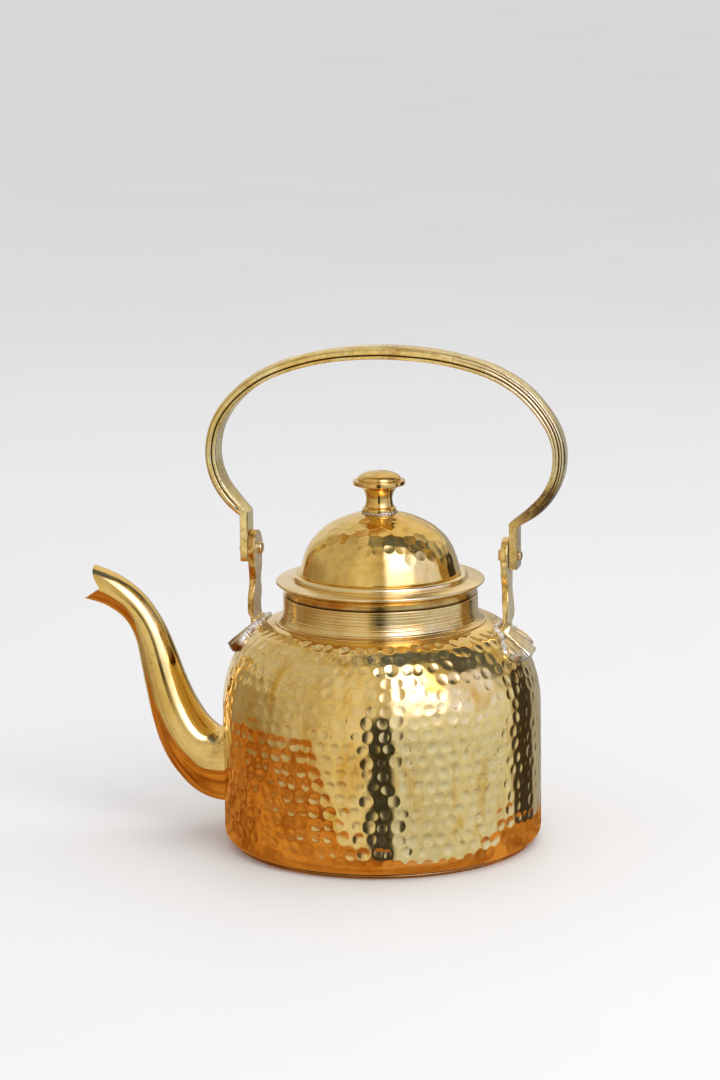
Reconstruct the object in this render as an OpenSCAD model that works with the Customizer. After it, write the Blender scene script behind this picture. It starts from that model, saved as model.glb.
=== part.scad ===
// Hammered sheet-brass teapot with a swinging bail handle and a lift-off lid.
// Origin at the centre of the base, +Z up, spout towards -X, bail in the XZ plane.

/* [Body] */
// Outside diameter of the straight wall
body_d = 141; // [139:1:142]
// Thickness of the body sheet
body_wall = 1.4; // [1:0.1:1.6]
// Height at which the shoulder begins to curve in
shoulder_z = 61; // [59:1:62]
// Height of the shoulder curve
shoulder_h = 38.8; // [38:0.2:40]
// Radius of the edge between the wall and the base
edge_r = 5.5; // [4:0.5:6]
// Thickness of the base disc
base_t = 1.5; // [1:0.1:2]
// Diameter of each strainer hole at the spout root
strainer_d = 4; // [3:0.5:4]

/* [Neck] */
// Inside radius of the neck ring
neck_r = 41.4; // [41.2:0.1:41.6]
// Height of the neck ring
neck_h = 12.2; // [11.2:0.2:13]

/* [Lid] */
// Radius of the lid's rim
rim_r = 46; // [45:0.5:47]
// Outside radius of the dome at its foot
dome_r = 35; // [34.5:0.5:35]
// Rise of the dome
dome_h = 26.2; // [24:0.2:28]
// Thickness of the dome's sheet
dome_wall = 1.2; // [1:0.1:1.5]
// Depth of the plug ring below the lid's seat
plug_h = 9; // [7:0.5:10]

/* [Knob] */
// Radius of the knob's disc
knob_r = 11.5; // [10:0.5:12.5]

/* [Ears] */
// Height of the pivot above the shoulder's top
pivot_up = 30.5; // [29:0.5:32]
// Distance of each ear's inner face from the middle
ear_x = 55; // [54.5:0.5:55]
// Thickness of the ear plate
ear_t = 3.2; // [3:0.1:3.2]
// Radius of the ear's eye
eye_r = 8; // [7.5:0.5:8.5]

/* [Handle] */
// Thickness of the bail at the reeded part
bail_t = 5.2; // [4.6:0.2:5.6]
// Width of the bail at the reeded part
bail_w = 12.5; // [11:0.5:14]
// Radius of the rivet's shank
rivet_r = 1.9; // [1.5:0.1:2.2]
// Radial running clearance of the handle on the rivet
rivet_play = 0.05; // [0.03:0.01:0.09]

/* [Spout] */
// Wall thickness of the spout
spout_wall = 1.3; // [1:0.1:1.5]

/* [Hidden] */
$fn = 96;

body_r = body_d / 2;
shoulder_a = 26.5;                 // half-width of the shoulder's quarter ellipse
shoulder_c = body_r - shoulder_a;  // radius of the ellipse's centre
seat_r = 47;                       // outer radius of the flat seat under the neck ring
function shoulder_at(r, k = 0) =
    shoulder_z + (shoulder_h - k) * sqrt(1 - pow((r - shoulder_c) / (shoulder_a - k), 2));
seat_z = shoulder_at(seat_r);
neck_top = seat_z + neck_h;
lid_z = neck_top + 0.05;           // underside of the lid's rim ring
dome_z = lid_z + 10.2;             // centre height of the dome's ellipse
knob_seat_r = 7.3;
knob_z = dome_z + dome_h * sqrt(1 - pow(knob_seat_r / dome_r, 2));
pivot_z = seat_z + pivot_up;
tab_gap = 0.3;
tab_x = ear_x + ear_t + tab_gap;   // inner face of the handle's flat ends
tab_t = 3.6;

// ---- small tools ----
function lerp(a, b, t) = a + (b - a) * t;
function smooth(t) = t * t * (3 - 2 * t);
// value of a smooth curve through stations [place, value]
function at(st, x, i = 0) =
    x <= st[0][0] ? st[0][1] :
    i >= len(st) - 1 ? st[len(st) - 1][1] :
    x <= st[i + 1][0] ? lerp(st[i][1], st[i + 1][1], smooth((x - st[i][0]) / (st[i + 1][0] - st[i][0])))
                      : at(st, x, i + 1);
// Catmull-Rom point between b and c
function cr(a, b, c, d, t) =
    0.5 * (2 * b + (c - a) * t + (2 * a - 5 * b + 4 * c - d) * t * t + (3 * b - a - 3 * c + d) * t * t * t);
// smooth line through points, n steps for each span
function spline(p, n) = let (m = len(p)) concat(
    [for (i = [0 : m - 2]) for (k = [0 : n - 1])
        cr(i == 0 ? 2 * p[0] - p[1] : p[i - 1], p[i], p[i + 1],
           i == m - 2 ? 2 * p[m - 1] - p[m - 2] : p[i + 2], k / n)],
    [p[m - 1]]);
function unit(v) = v / norm(v);
// side normal of a flat line at point i, lengthened at corners to keep the thickness
function side(p, i) = let (
    a = unit(i == 0 ? p[1] - p[0] : p[i] - p[i - 1]),
    b = unit(i == len(p) - 1 ? p[i] - p[i - 1] : p[i + 1] - p[i]),
    na = [-a[1], a[0]], nb = [-b[1], b[0]], m = unit(na + nb)) m / (m * na);
// closed skin over rings that all have the same number of points
module skin(rings) {
    n = len(rings[0]);
    m = len(rings);
    polyhedron(
        points = [for (r = rings) for (q = r) q],
        faces = concat(
            [[for (j = [0 : n - 1]) j]],
            [for (i = [0 : m - 2]) for (j = [0 : n - 1])
                [i * n + j, (i + 1) * n + j, (i + 1) * n + (j + 1) % n]],
            [for (i = [0 : m - 2]) for (j = [0 : n - 1])
                [i * n + j, (i + 1) * n + (j + 1) % n, i * n + (j + 1) % n]],
            [[for (j = [n - 1 : -1 : 0]) (m - 1) * n + j]]));
}

// ---- body ----
// outline of the wall from the turned-in bottom edge to the neck seat, moved in by k
function wall_line(k) = concat(
    [for (t = [0 : 10 : 90]) [body_r - edge_r + (edge_r - k) * sin(t),
                              base_t + edge_r - (edge_r - k) * cos(t)]],
    [for (t = [0 : 4 : 80]) if (shoulder_c + (shoulder_a - k) * cos(t) > seat_r + 0.2)
        [shoulder_c + (shoulder_a - k) * cos(t), shoulder_z + (shoulder_h - k) * sin(t)]],
    [[seat_r, seat_z - k]]);
bottom_r = body_r - edge_r - 3;    // inner radius of the turned-in edge
spout_z = 31;                      // height of the spout's root
// the part of an outline below or above the seam between wall and shoulder, and the same backwards
function below(p) = [for (q = p) if (q[1] < shoulder_z + 0.01) q];
function above(p) = [for (q = p) if (q[1] > shoulder_z - 0.01) q];
function backwards(p) = [for (i = [len(p) - 1 : -1 : 0]) p[i]];

module body_solid() {
    rotate_extrude()
        polygon(concat([[0, base_t]], wall_line(0), [[0, seat_z]]));
}

// lower sheet: straight wall with a turned-in bottom edge, brazed to the shoulder
module body_shell() {
    color([0.80, 0.64, 0.26])
    difference() {
        rotate_extrude()
            polygon(concat([[bottom_r, base_t]], below(wall_line(0)), backwards(below(wall_line(body_wall))),
                           [[bottom_r, base_t + body_wall]]));
        // strainer: one hole, a ring of six and a ring of twelve
        for (ring = [[0, 1], [6.4, 6], [12.6, 12]]) for (i = [0 : ring[1] - 1])
            translate([0, ring[0] * cos(i * 360 / ring[1]), spout_z + ring[0] * sin(i * 360 / ring[1])])
                rotate([0, -90, 0]) cylinder(d = strainer_d, h = body_r + 5, $fn = 32);
    }
}

// upper sheet: shoulder curve and the flat seat under the neck ring
module shoulder_shell() {
    color([0.80, 0.64, 0.26])
    rotate_extrude()
        polygon(concat(above(wall_line(0)), [[neck_r, seat_z], [neck_r, seat_z - body_wall]],
                       backwards(above(wall_line(body_wall)))));
}

module base_disc() {
    color([0.78, 0.60, 0.24])
    rotate_extrude()
        polygon([[0, 0], [body_r - 4.9, 0], [body_r - 4.3, 0.5], [body_r - 4.3, base_t - 0.3],
                 [body_r - 4.6, base_t], [0, base_t]]);
}

// ---- neck ----
module neck_collar() {
    color([0.80, 0.66, 0.34])
    rotate_extrude()
        polygon(concat(
            [[neck_r, seat_z], [neck_r + 5.1, seat_z], [neck_r + 5.2, seat_z + 0.4]],
            // concave foot
            [for (t = [10 : 10 : 80]) [neck_r + 1.6 + 3.6 * (1 - sin(t)), seat_z + 0.4 + 5.4 * (1 - cos(t))]],
            [[neck_r + 1.6, seat_z + 6], [neck_r + 1.6, neck_top - 0.5],
             [neck_r + 1.3, neck_top], [neck_r + 0.2, neck_top], [neck_r, neck_top - 0.2]]));
}

// ---- spout: middle line in the XZ plane with the outside diameter at each station ----
spout_line = [[-60, 31, 34.5], [-74, 31, 33], [-83, 36, 29], [-89.6, 44, 25.6], [-95, 55.4, 22],
              [-98.8, 67, 19.2], [-101.8, 78, 17.2], [-104.8, 88, 15.2], [-108.6, 95.8, 14.2],
              [-113.6, 102.2, 14.2], [-120.3, 107.2, 14.8], [-127, 110.3, 15.4], [-140, 114, 16.6]];
function spout_rings(p, cut, sides) = let (flat = [for (q = p) [q[0], q[1]]])
    [for (i = [0 : len(p) - 1]) let (n = unit(side(flat, i)), r = p[i][2] / 2 - cut)
        [for (j = [0 : sides - 1]) let (a = j * 360 / sides)
            [p[i][0] + n[0] * r * cos(a), -r * sin(a), p[i][1] + n[1] * r * cos(a)]]];

module spout() {
    color([0.82, 0.66, 0.28])
    difference() {
        skin(spout_rings(spline(spout_line, 3), 0, 28));
        skin(spout_rings(spline(concat([[-50, 31, 34.5]], spout_line, [[-152, 117.5, 17.6]]), 3), spout_wall, 28));
        // the root is fitted to the wall
        cylinder(r = body_r, h = 90, $fn = 180);
        // beak mouth: short upper lip, notch, longer pointed lower lip
        rotate([90, 0, 0]) linear_extrude(40, center = true)
            polygon([[-132, 132], [-130.8, 118.8], [-128.9, 114.4], [-126.6, 110.6], [-131, 107.6],
                     [-138, 103.6], [-165, 96], [-165, 132]]);
    }
}

// ---- ears ----
foot_x = 54;
foot_up = 0.1;
foot_tilt = 39.5;
foot_t = 4;
// half outline of the two-lobed saddle foot: [down the slope, across]
foot_half = [[0.1, 6.8], [2.8, 8.6], [5.6, 12.6], [8, 16.4], [10.4, 18], [12.8, 17.9], [15.2, 15.8], [17.3, 12],
             [18.7, 7.6], [19.4, 3.6], [19, 0]];
// half-width of the plate at heights below the pivot
ear_half = [[-36, 8], [-28, 7.4], [-21, 7.2], [-14, 5.1], [-6, 7], [0, 7.9]];

// saddle foot: straight down the slope, curved round the shoulder, its underside fitted to the sheet
foot_drop = tan(foot_tilt);
function foot_top(r) = seat_z + foot_up + (foot_x - r) * foot_drop;
module foot() {
    edge = spline(foot_half, 2);
    n = len(edge);
    under = [for (t = [24 : 4 : 76]) let (r = shoulder_c + shoulder_a * cos(t))
        [r, max(shoulder_at(r), foot_top(r) - foot_t / cos(foot_tilt))]];
    intersection() {
        rotate_extrude()
            polygon(concat([[50, foot_top(50)]], backwards(under), [[72, foot_top(72) - 4], [72, foot_top(72)]]));
        translate([foot_x, 0, seat_z + foot_up]) rotate([0, foot_tilt, 0]) translate([0, 0, -16]) linear_extrude(26)
            polygon(concat(edge, [for (i = [n - 2 : -1 : 0]) [edge[i][0], -edge[i][1]]]));
    }
}

module ear() {
    difference() {
        union() {
            difference() {
                translate([ear_x, 0, pivot_z]) rotate([90, 0, 90]) linear_extrude(ear_t)
                    polygon(concat([for (z = [-36 : 1.5 : 0]) [at(ear_half, z), z]],
                                   [for (z = [0 : -1.5 : -36]) [-at(ear_half, z), z]]));
                // the plate ends inside the foot
                rotate_extrude() polygon([[0, 60], [72, 60], [72, foot_top(72) - 1.4], [40, foot_top(40) - 1.4], [0, foot_top(40) - 1.4]]);
            }
            translate([ear_x, 0, pivot_z]) rotate([0, 90, 0]) cylinder(r = eye_r, h = ear_t);
            foot();
        }
        translate([0, 0, pivot_z]) rotate([0, 90, 0]) cylinder(r = rivet_r + rivet_play, h = 100, $fn = 64);
        // a shallow flute along each lobe of the foot
        for (s = [-1, 1]) translate([foot_x, s * 7, seat_z + foot_up + 3.9]) rotate([0, foot_tilt, s * 12]) translate([4.5, 0, 0])
            rotate([0, 90, 0]) cylinder(r = 5, h = 40, $fn = 64);
    }
}

module front_ear() { color([0.80, 0.62, 0.24]) mirror([1, 0, 0]) ear(); }
module rear_ear() { color([0.80, 0.62, 0.24]) ear(); }

module rivet() {
    head = tab_x + tab_t + 0.2;
    translate([0, 0, pivot_z]) rotate([0, 90, 0]) rotate_extrude($fn = 64)
        polygon([[0, ear_x - 2.2], [1.4, ear_x - 2.15], [2.2, ear_x - 1.8], [2.6, ear_x - 1.1], [2.7, ear_x],
                 [rivet_r, ear_x], [rivet_r, head], [2.5, head], [2.4, head + 0.6], [2, head + 1],
                 [1.2, head + 1.25], [0, head + 1.3]]);
}

module front_rivet() { color([0.76, 0.55, 0.24]) mirror([1, 0, 0]) rivet(); }
module rear_rivet() { color([0.76, 0.55, 0.24]) rivet(); }

// ---- handle: inner face line in the XZ plane, heights from the pivot ----
bail_bow = [[-tab_x, 16.5], [-63.5, 22], [-69, 29.5], [-72, 38], [-72.2, 46], [-70, 54.5], [-65, 62.5],
            [-57, 70.2], [-47, 76.4], [-34, 81.2], [-18, 84.6], [2, 86], [22, 85], [38, 82.2], [51, 78],
            [62, 71.5], [70, 63.5], [75.5, 55], [77.8, 46.5], [77, 37], [73, 28.5], [66.5, 21.5],
            [tab_x, 15]];
tab_low = -5.5;
// cross-section [across, outwards]: k = 0 at the flat ends, k = 1 along the reeded bow
function bail_section(k) = let (
    w = lerp(11, bail_w, k) / 2, t = lerp(tab_t, bail_t, k),
    rim = lerp(t - 0.5, 0.42 * t, k), out = lerp(t, 0.68 * t, k), reed = lerp(t, 0.84 * t, k),
    dip = lerp(t, 0.74 * t, k), mid = lerp(t, 0.92 * t, k))
    [[-w + 0.5, 0], [-w, 0.5], [-w, rim], [-0.9 * w, out], [-0.68 * w, reed], [-0.46 * w, dip],
     [-0.34 * w, mid], [0, t], [0.34 * w, mid], [0.46 * w, dip], [0.68 * w, reed], [0.9 * w, out],
     [w, rim], [w, 0.5], [w - 0.5, 0]];

module handle_bail() {
    bow = spline(bail_bow, 3);
    line = concat([[-tab_x, tab_low], [-tab_x, 10]], bow, [[tab_x, 10], [tab_x, tab_low]]);
    n = len(line);
    color([0.80, 0.62, 0.26])
    difference() {
        skin([for (i = [0 : n - 1]) let (
                s = side(line, i),
                k = smooth(max(0, min(1, (min(i, n - 1 - i) - 2) / 4))))
            [for (q = bail_section(k)) [line[i][0] + s[0] * q[1], -q[0], pivot_z + line[i][1] + s[1] * q[1]]]]);
        translate([-100, 0, pivot_z]) rotate([0, 90, 0])
            cylinder(r = rivet_r + rivet_play, h = 200, $fn = 64);
    }
}

// ---- lid ----
module lid_dome() {
    function arc(a, b, r0) = [for (t = [0 : 3 : 87]) if (a * cos(t) > r0 + 0.3) [a * cos(t), dome_z + b * sin(t)]];
    inner = arc(dome_r - dome_wall, dome_h - dome_wall, knob_seat_r);
    n = len(inner);
    color([0.80, 0.62, 0.24])
    rotate_extrude()
        polygon(concat(
            [[dome_r - dome_wall, lid_z + 7], [dome_r, lid_z + 7]], arc(dome_r, dome_h, knob_seat_r),
            [[knob_seat_r, knob_z], [3.05, knob_z], [3.05, knob_z - dome_wall], [knob_seat_r, knob_z - dome_wall]],
            [for (i = [n - 1 : -1 : 0]) inner[i]]));
}

module lid_flange() {
    bead = [dome_r + 2.3, lid_z + 7.8];
    color([0.82, 0.66, 0.30])
    rotate_extrude()
        polygon(concat(
            [[neck_r - 0.8, lid_z], [neck_r + 1.1, lid_z], [neck_r + 1.3, lid_z + 1.5]],
            // cove of the skirt
            [for (t = [15 : 15 : 75]) [neck_r + 1.3 + (rim_r - neck_r - 1.9) * (1 - cos(t)),
                                       lid_z + 1.5 + 3.3 * sin(t)]],
            [[rim_r - 0.5, lid_z + 4.9], [rim_r, lid_z + 5.3], [rim_r, lid_z + 6], [rim_r - 0.4, lid_z + 6.3],
             [rim_r - 2.5, lid_z + 6.6], [rim_r - 5, lid_z + 7]],
            // bead round the foot of the dome
            [for (t = [-30 : 15 : 150]) bead + 1.4 * [cos(t), sin(t)]],
            [[dome_r, bead[1] + 0.5], [dome_r, lid_z + 7], [dome_r - 1.6, lid_z + 7], [dome_r - 1.6, lid_z + 5.4],
             [neck_r - 3, lid_z + 3.4], [neck_r - 0.8, lid_z + 3.4]]));
}

module lid_collar() {
    color([0.74, 0.62, 0.38])
    rotate_extrude()
        polygon([[neck_r - 2, lid_z - plug_h], [neck_r - 1.2, lid_z - plug_h], [neck_r - 0.8, lid_z - plug_h + 0.6],
                 [neck_r - 0.8, lid_z + 3.4], [neck_r - 2, lid_z + 3.4]]);
}

// ---- knob ----
module knob() {
    r = knob_r;
    color([0.82, 0.64, 0.30])
    translate([0, 0, knob_z]) rotate_extrude()
        polygon(concat(
            // peened tenon under the washer
            [[0, -3.8], [2.6, -3.6], [4.2, -3], [4.6, -2.2], [3, -2.2], [3, 0], [knob_seat_r - 0.1, 0]],
            // foot ring and waisted stem
            [[knob_seat_r + 0.1, 0.8], [knob_seat_r, 1.6], [knob_seat_r - 0.4, 2.1], [knob_seat_r - 0.9, 2.4]],
            [for (z = [3.2 : 0.7 : 10.9]) [5.65 + 0.052 * pow(abs(z - 6), 2.1) * (z > 6 ? 1.3 : 1.15), z]],
            // disc with a cap above it
            [[r - 1.6, 12], [r - 0.3, 12.5], [r, 13], [r, 13.9], [r - 0.3, 14.3], [r - 1.4, 14.5], [r - 1.6, 14.9],
             [r - 1.7, 15.6]],
            [for (t = [20 : 14 : 76]) [(r - 1.8) * cos(t), 15.3 + 3.4 * sin(t)]],
            [[0, 18.7]]));
}

module knob_washer() {
    color([0.74, 0.58, 0.28])
    translate([0, 0, knob_z - dome_wall - 1]) difference() {
        cylinder(r = 6.8, h = 1);
        translate([0, 0, -1]) cylinder(r = 3.05, h = 3);
    }
}

body_shell();
shoulder_shell();
base_disc();
neck_collar();
spout();
front_ear();
rear_ear();
front_rivet();
rear_rivet();
handle_bail();
lid_dome();
lid_flange();
lid_collar();
knob();
knob_washer();
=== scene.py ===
import math

import bpy
import numpy as np
from mathutils import Matrix, Vector
from mathutils.kdtree import KDTree


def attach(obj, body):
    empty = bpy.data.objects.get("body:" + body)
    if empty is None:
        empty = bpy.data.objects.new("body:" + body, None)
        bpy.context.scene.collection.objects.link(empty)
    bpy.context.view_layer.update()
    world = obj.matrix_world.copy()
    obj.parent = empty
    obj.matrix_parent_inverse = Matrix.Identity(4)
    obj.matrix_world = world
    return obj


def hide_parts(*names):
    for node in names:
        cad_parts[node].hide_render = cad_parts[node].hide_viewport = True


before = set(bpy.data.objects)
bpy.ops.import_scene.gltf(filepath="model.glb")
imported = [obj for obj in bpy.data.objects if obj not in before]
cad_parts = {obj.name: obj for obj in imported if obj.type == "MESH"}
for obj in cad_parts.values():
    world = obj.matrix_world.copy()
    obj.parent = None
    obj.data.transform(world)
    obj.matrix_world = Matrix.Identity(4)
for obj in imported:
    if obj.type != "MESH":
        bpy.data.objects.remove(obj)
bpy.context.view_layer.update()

MM = 0.001
scene = bpy.context.scene

# ---------------------------------------------------------------- main sizes, in mm
BODY_R, WALL, SHOULDER_Z, SHOULDER_H, SHOULDER_A = 70.5, 1.4, 61.0, 38.8, 26.5
SHOULDER_C = BODY_R - SHOULDER_A
EDGE_R, BASE_T, SEAT_R = 5.5, 1.5, 47.0
SEAT_Z = SHOULDER_Z + SHOULDER_H * math.sqrt(1 - ((SEAT_R - SHOULDER_C) / SHOULDER_A) ** 2)
NECK_R, RIM_R = 41.4, 46.0
NECK_TOP = SEAT_Z + 12.2
LID_Z = NECK_TOP + 0.05
DOME_R, DOME_H, DOME_WALL = 35.0, 26.2, 1.2
DOME_Z = LID_Z + 10.2
KNOB_SEAT, KNOB_R = 7.3, 11.5
KNOB_Z = DOME_Z + DOME_H * math.sqrt(1 - (KNOB_SEAT / DOME_R) ** 2)
PIVOT_Z = SEAT_Z + 30.5
EAR_X, EAR_T, TAB_X, TAB_T = 55.0, 3.2, 58.5, 3.6
RIVET_R, BORE_R = 1.9, 1.95
SPOUT_Z = 31.0


# ---------------------------------------------------------------- mesh tools
def shade(mesh, degrees):
    mesh.polygons.foreach_set("use_smooth", [True] * len(mesh.polygons))
    mesh.set_sharp_from_angle(angle=math.radians(degrees))
    mesh.update()


def new_object(name, verts, faces, degrees=32.0):
    mesh = bpy.data.meshes.new(name)
    mesh.from_pydata((np.asarray(verts, float) * MM).tolist(), [], faces)
    mesh.update()
    ob = bpy.data.objects.new(name, mesh)
    scene.collection.objects.link(ob)
    shade(mesh, degrees)
    return ob


def bake_down(ob, degrees):
    """Replaces an object's mesh by what its modifiers make of it."""
    bpy.context.view_layer.update()
    dg = bpy.context.evaluated_depsgraph_get()
    mesh = bpy.data.meshes.new_from_object(ob.evaluated_get(dg))
    old = ob.data
    ob.modifiers.clear()
    ob.data = mesh
    mesh.name = ob.name
    bpy.data.meshes.remove(old)
    shade(mesh, degrees)


def cut(ob, cutters, degrees=32.0):
    for c in cutters:
        m = ob.modifiers.new("cut", "BOOLEAN")
        m.operation, m.object, m.solver = "DIFFERENCE", c, "MANIFOLD"
    bake_down(ob, degrees)
    for c in cutters:
        mesh = c.data
        bpy.data.objects.remove(c)
        bpy.data.meshes.remove(mesh)


def bridge(faces, a, na, b, nb):
    """Faces between ring a (first index, count) and ring b above it, where the counts are equal or differ by a factor of two."""
    if na == nb:
        for j in range(na):
            k = (j + 1) % na
            faces.append((a + j, a + k, b + k, b + j))
    elif na == 2 * nb:
        for j in range(nb):
            k, p, q, r = (j + 1) % nb, 2 * j, 2 * j + 1, (2 * j + 2) % na
            faces += [(a + p, a + q, b + j), (a + q, b + k, b + j), (a + q, a + r, b + k)]
    else:
        for j in range(na):
            k, p, q, r = (j + 1) % na, 2 * j, 2 * j + 1, (2 * j + 2) % nb
            faces += [(a + j, b + q, b + p), (a + j, a + k, b + q), (a + k, b + r, b + q)]


def revolve(profile, n):
    """A closed outline of (r, z), anticlockwise, turned round Z. A point on the axis becomes one vertex."""
    t = np.arange(n) * 2 * math.pi / n
    verts, rings = [], []
    for r, z in profile:
        rings.append(len(verts))
        if r < 1e-6:
            verts.append((0.0, 0.0, z))
        else:
            verts += list(zip(r * np.cos(t), r * np.sin(t), [z] * n))
    faces, m = [], len(profile)
    for i in range(m):
        k = (i + 1) % m
        a, b, pa, pb = rings[i], rings[k], profile[i][0] < 1e-6, profile[k][0] < 1e-6
        if pa and pb:
            continue
        for j in range(n):
            q = (j + 1) % n
            if pa:
                faces.append((a, b + q, b + j))
            elif pb:
                faces.append((a + j, a + q, b))
            else:
                faces.append((a + j, a + q, b + q, b + j))
    return verts, faces


def arc(cx, cz, r, a0, a1, n):
    return [(cx + r * math.cos(math.radians(a)), cz + r * math.sin(math.radians(a))) for a in np.linspace(a0, a1, n)]


def dense(points, step):
    """The same line with points no further apart than step."""
    out = [points[0]]
    for a, b in zip(points, points[1:]):
        n = max(1, math.ceil(math.dist(a, b) / step))
        out += [(a[0] + (b[0] - a[0]) * i / n, a[1] + (b[1] - a[1]) * i / n) for i in range(1, n + 1)]
    return out


def tooled(points, depth, seed, pitch=0.55):
    """Fine irregular tool marks: a dense line moved a little along its own normal."""
    p = np.array(points)
    d = np.gradient(p, axis=0)
    d /= np.linalg.norm(d, axis=1)[:, None]
    s = np.concatenate([[0], np.cumsum(np.linalg.norm(np.diff(p, axis=0), axis=1))])
    g = np.random.default_rng(seed)
    wave = np.zeros(len(s))
    for _ in range(9):
        wave += np.sin(2 * math.pi * s / (pitch * g.uniform(0.7, 3.2)) + g.uniform(0, 6.28)) * g.uniform(0.3, 1.0)
    wave *= depth / 2.2
    fade = np.clip(np.minimum(s, s[-1] - s) / 0.5, 0, 1)
    p += np.stack([d[:, 1], -d[:, 0]], 1) * (wave * fade)[:, None]
    return [tuple(q) for q in p]


def spline(points, n):
    """Smooth line through points, n steps for each span."""
    p = [np.array(q, float) for q in points]
    m, out = len(p), []
    for i in range(m - 1):
        a = 2 * p[0] - p[1] if i == 0 else p[i - 1]
        b, c = p[i], p[i + 1]
        d = 2 * p[-1] - p[-2] if i == m - 2 else p[i + 2]
        for k in range(n):
            t = k / n
            out.append(0.5 * (2 * b + (c - a) * t + (2 * a - 5 * b + 4 * c - d) * t * t + (3 * b - a - 3 * c + d) * t ** 3))
    return np.array(out + [p[-1]])


def side(line, i, mitre=True):
    """Side normal of a flat line at point i, lengthened at corners."""
    a = line[i] - line[i - 1] if i else line[1] - line[0]
    b = line[i + 1] - line[i] if i < len(line) - 1 else line[i] - line[i - 1]
    a, b = a / np.linalg.norm(a), b / np.linalg.norm(b)
    na, nb = np.array([-a[1], a[0]]), np.array([-b[1], b[0]])
    m = (na + nb) / np.linalg.norm(na + nb)
    return m / (m @ na) if mitre else m


def skin(rings):
    """A closed skin over rings that have the same number of points."""
    n, m = len(rings[0]), len(rings)
    verts = [q for r in rings for q in r]
    faces = [tuple(range(n))]
    for i in range(m - 1):
        for j in range(n):
            k = (j + 1) % n
            faces.append((i * n + j, (i + 1) * n + j, (i + 1) * n + k, i * n + k))
    faces.append(tuple((m - 1) * n + j for j in range(n - 1, -1, -1)))
    return verts, faces


def outward(ob):
    """Turns all faces outward, by the sign of the volume."""
    import bmesh
    bm = bmesh.new()
    bm.from_mesh(ob.data)
    if bm.calc_volume(signed=True) < 0:
        bmesh.ops.reverse_faces(bm, faces=bm.faces)
    bm.to_mesh(ob.data)
    bm.free()
    ob.data.update()


def placed(ob, body, slot, *nodes):
    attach(ob, body)
    if nodes:
        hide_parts(*nodes)


# ---------------------------------------------------------------- hammered sheet
def resample(points, where):
    """Points and unit side normals at arc lengths along a dense line."""
    p = np.array(points)
    s = np.concatenate([[0], np.cumsum(np.linalg.norm(np.diff(p, axis=0), axis=1))])
    q = np.stack([np.interp(where, s, p[:, i]) for i in (0, 1)], 1)
    e = 0.05
    d = np.stack([np.interp(where + e, s, p[:, i]) - np.interp(where - e, s, p[:, i]) for i in (0, 1)], 1)
    d /= np.linalg.norm(d, axis=1)[:, None]
    return q, np.stack([d[:, 1], -d[:, 0]], 1), s


def dents(s, q, turns, marks, crisp=0.05, hard=6):
    """Depth of round hammer marks over a grid of rows s (radius q[:, 0]) and angles turns."""
    total = np.zeros((len(s), len(turns)))
    step = turns[1] - turns[0]
    n = len(turns)
    for sd, td, rd, a, h, oval, lean in marks:
        rows = np.where(np.abs(s - sd) < a * 1.25)[0]
        if not len(rows):
            continue
        span = int(math.ceil(a * 1.25 / (rd * step))) + 1
        mid = int(round(td / step))
        cols = np.arange(mid - span, mid + span + 1)
        u = (cols * step - td)[None, :] * q[rows, 0][:, None]
        v = (s[rows] - sd)[:, None] + 0 * u
        c, w = math.cos(lean), math.sin(lean)
        x, y = (u * c + v * w) / oval, (-u * w + v * c) * oval
        f = h * (1 - (x * x + y * y) / (a * a))
        f = 0.5 * (f + np.sqrt(f * f + (crisp * h) ** 2))  # a slightly rounded lip
        f = np.where(f < 0.02 * h, 0.0, f)
        total[np.ix_(rows, cols % n)] += f ** hard
    return total ** (1 / hard)


def waves(s, turns, size, seed, count=7):
    """Slow unevenness of beaten sheet."""
    g = np.random.default_rng(seed)
    out = np.zeros((len(s), len(turns)))
    for _ in range(count):
        k = g.integers(3, 13)
        out += g.uniform(0.4, 1.0) * np.sin(
            k * turns[None, :] + s[:, None] * g.uniform(-0.25, 0.25) + g.uniform(0, 6.28))
    return out * size / math.sqrt(count)


def wall_line(k, steps=160):
    edge = [(BODY_R - EDGE_R + (EDGE_R - k) * math.sin(t), BASE_T + EDGE_R - (EDGE_R - k) * math.cos(t))
            for t in np.linspace(0, math.pi / 2, 40)]
    end = math.acos((SEAT_R - SHOULDER_C) / (SHOULDER_A - k))
    bend = [(SHOULDER_C + (SHOULDER_A - k) * math.cos(t), SHOULDER_Z + (SHOULDER_H - k) * math.sin(t))
            for t in np.linspace(0, end, steps)]
    return edge + bend


def shell(name, rings, counts, degrees, marked):
    """A closed shell over rings, with the depth of the hammer marks kept for the finish."""
    first = np.concatenate([[0], np.cumsum(counts)])
    faces = []
    for i in range(len(rings)):
        k = (i + 1) % len(rings)
        bridge(faces, int(first[i]), counts[i], int(first[k]), counts[k])
    ob = new_object(name, np.concatenate(rings), faces, degrees)
    dent = ob.data.attributes.new("dent", "FLOAT", "POINT")
    dent.data.foreach_set("value", np.concatenate(marked).astype(np.float32))
    return ob


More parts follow.
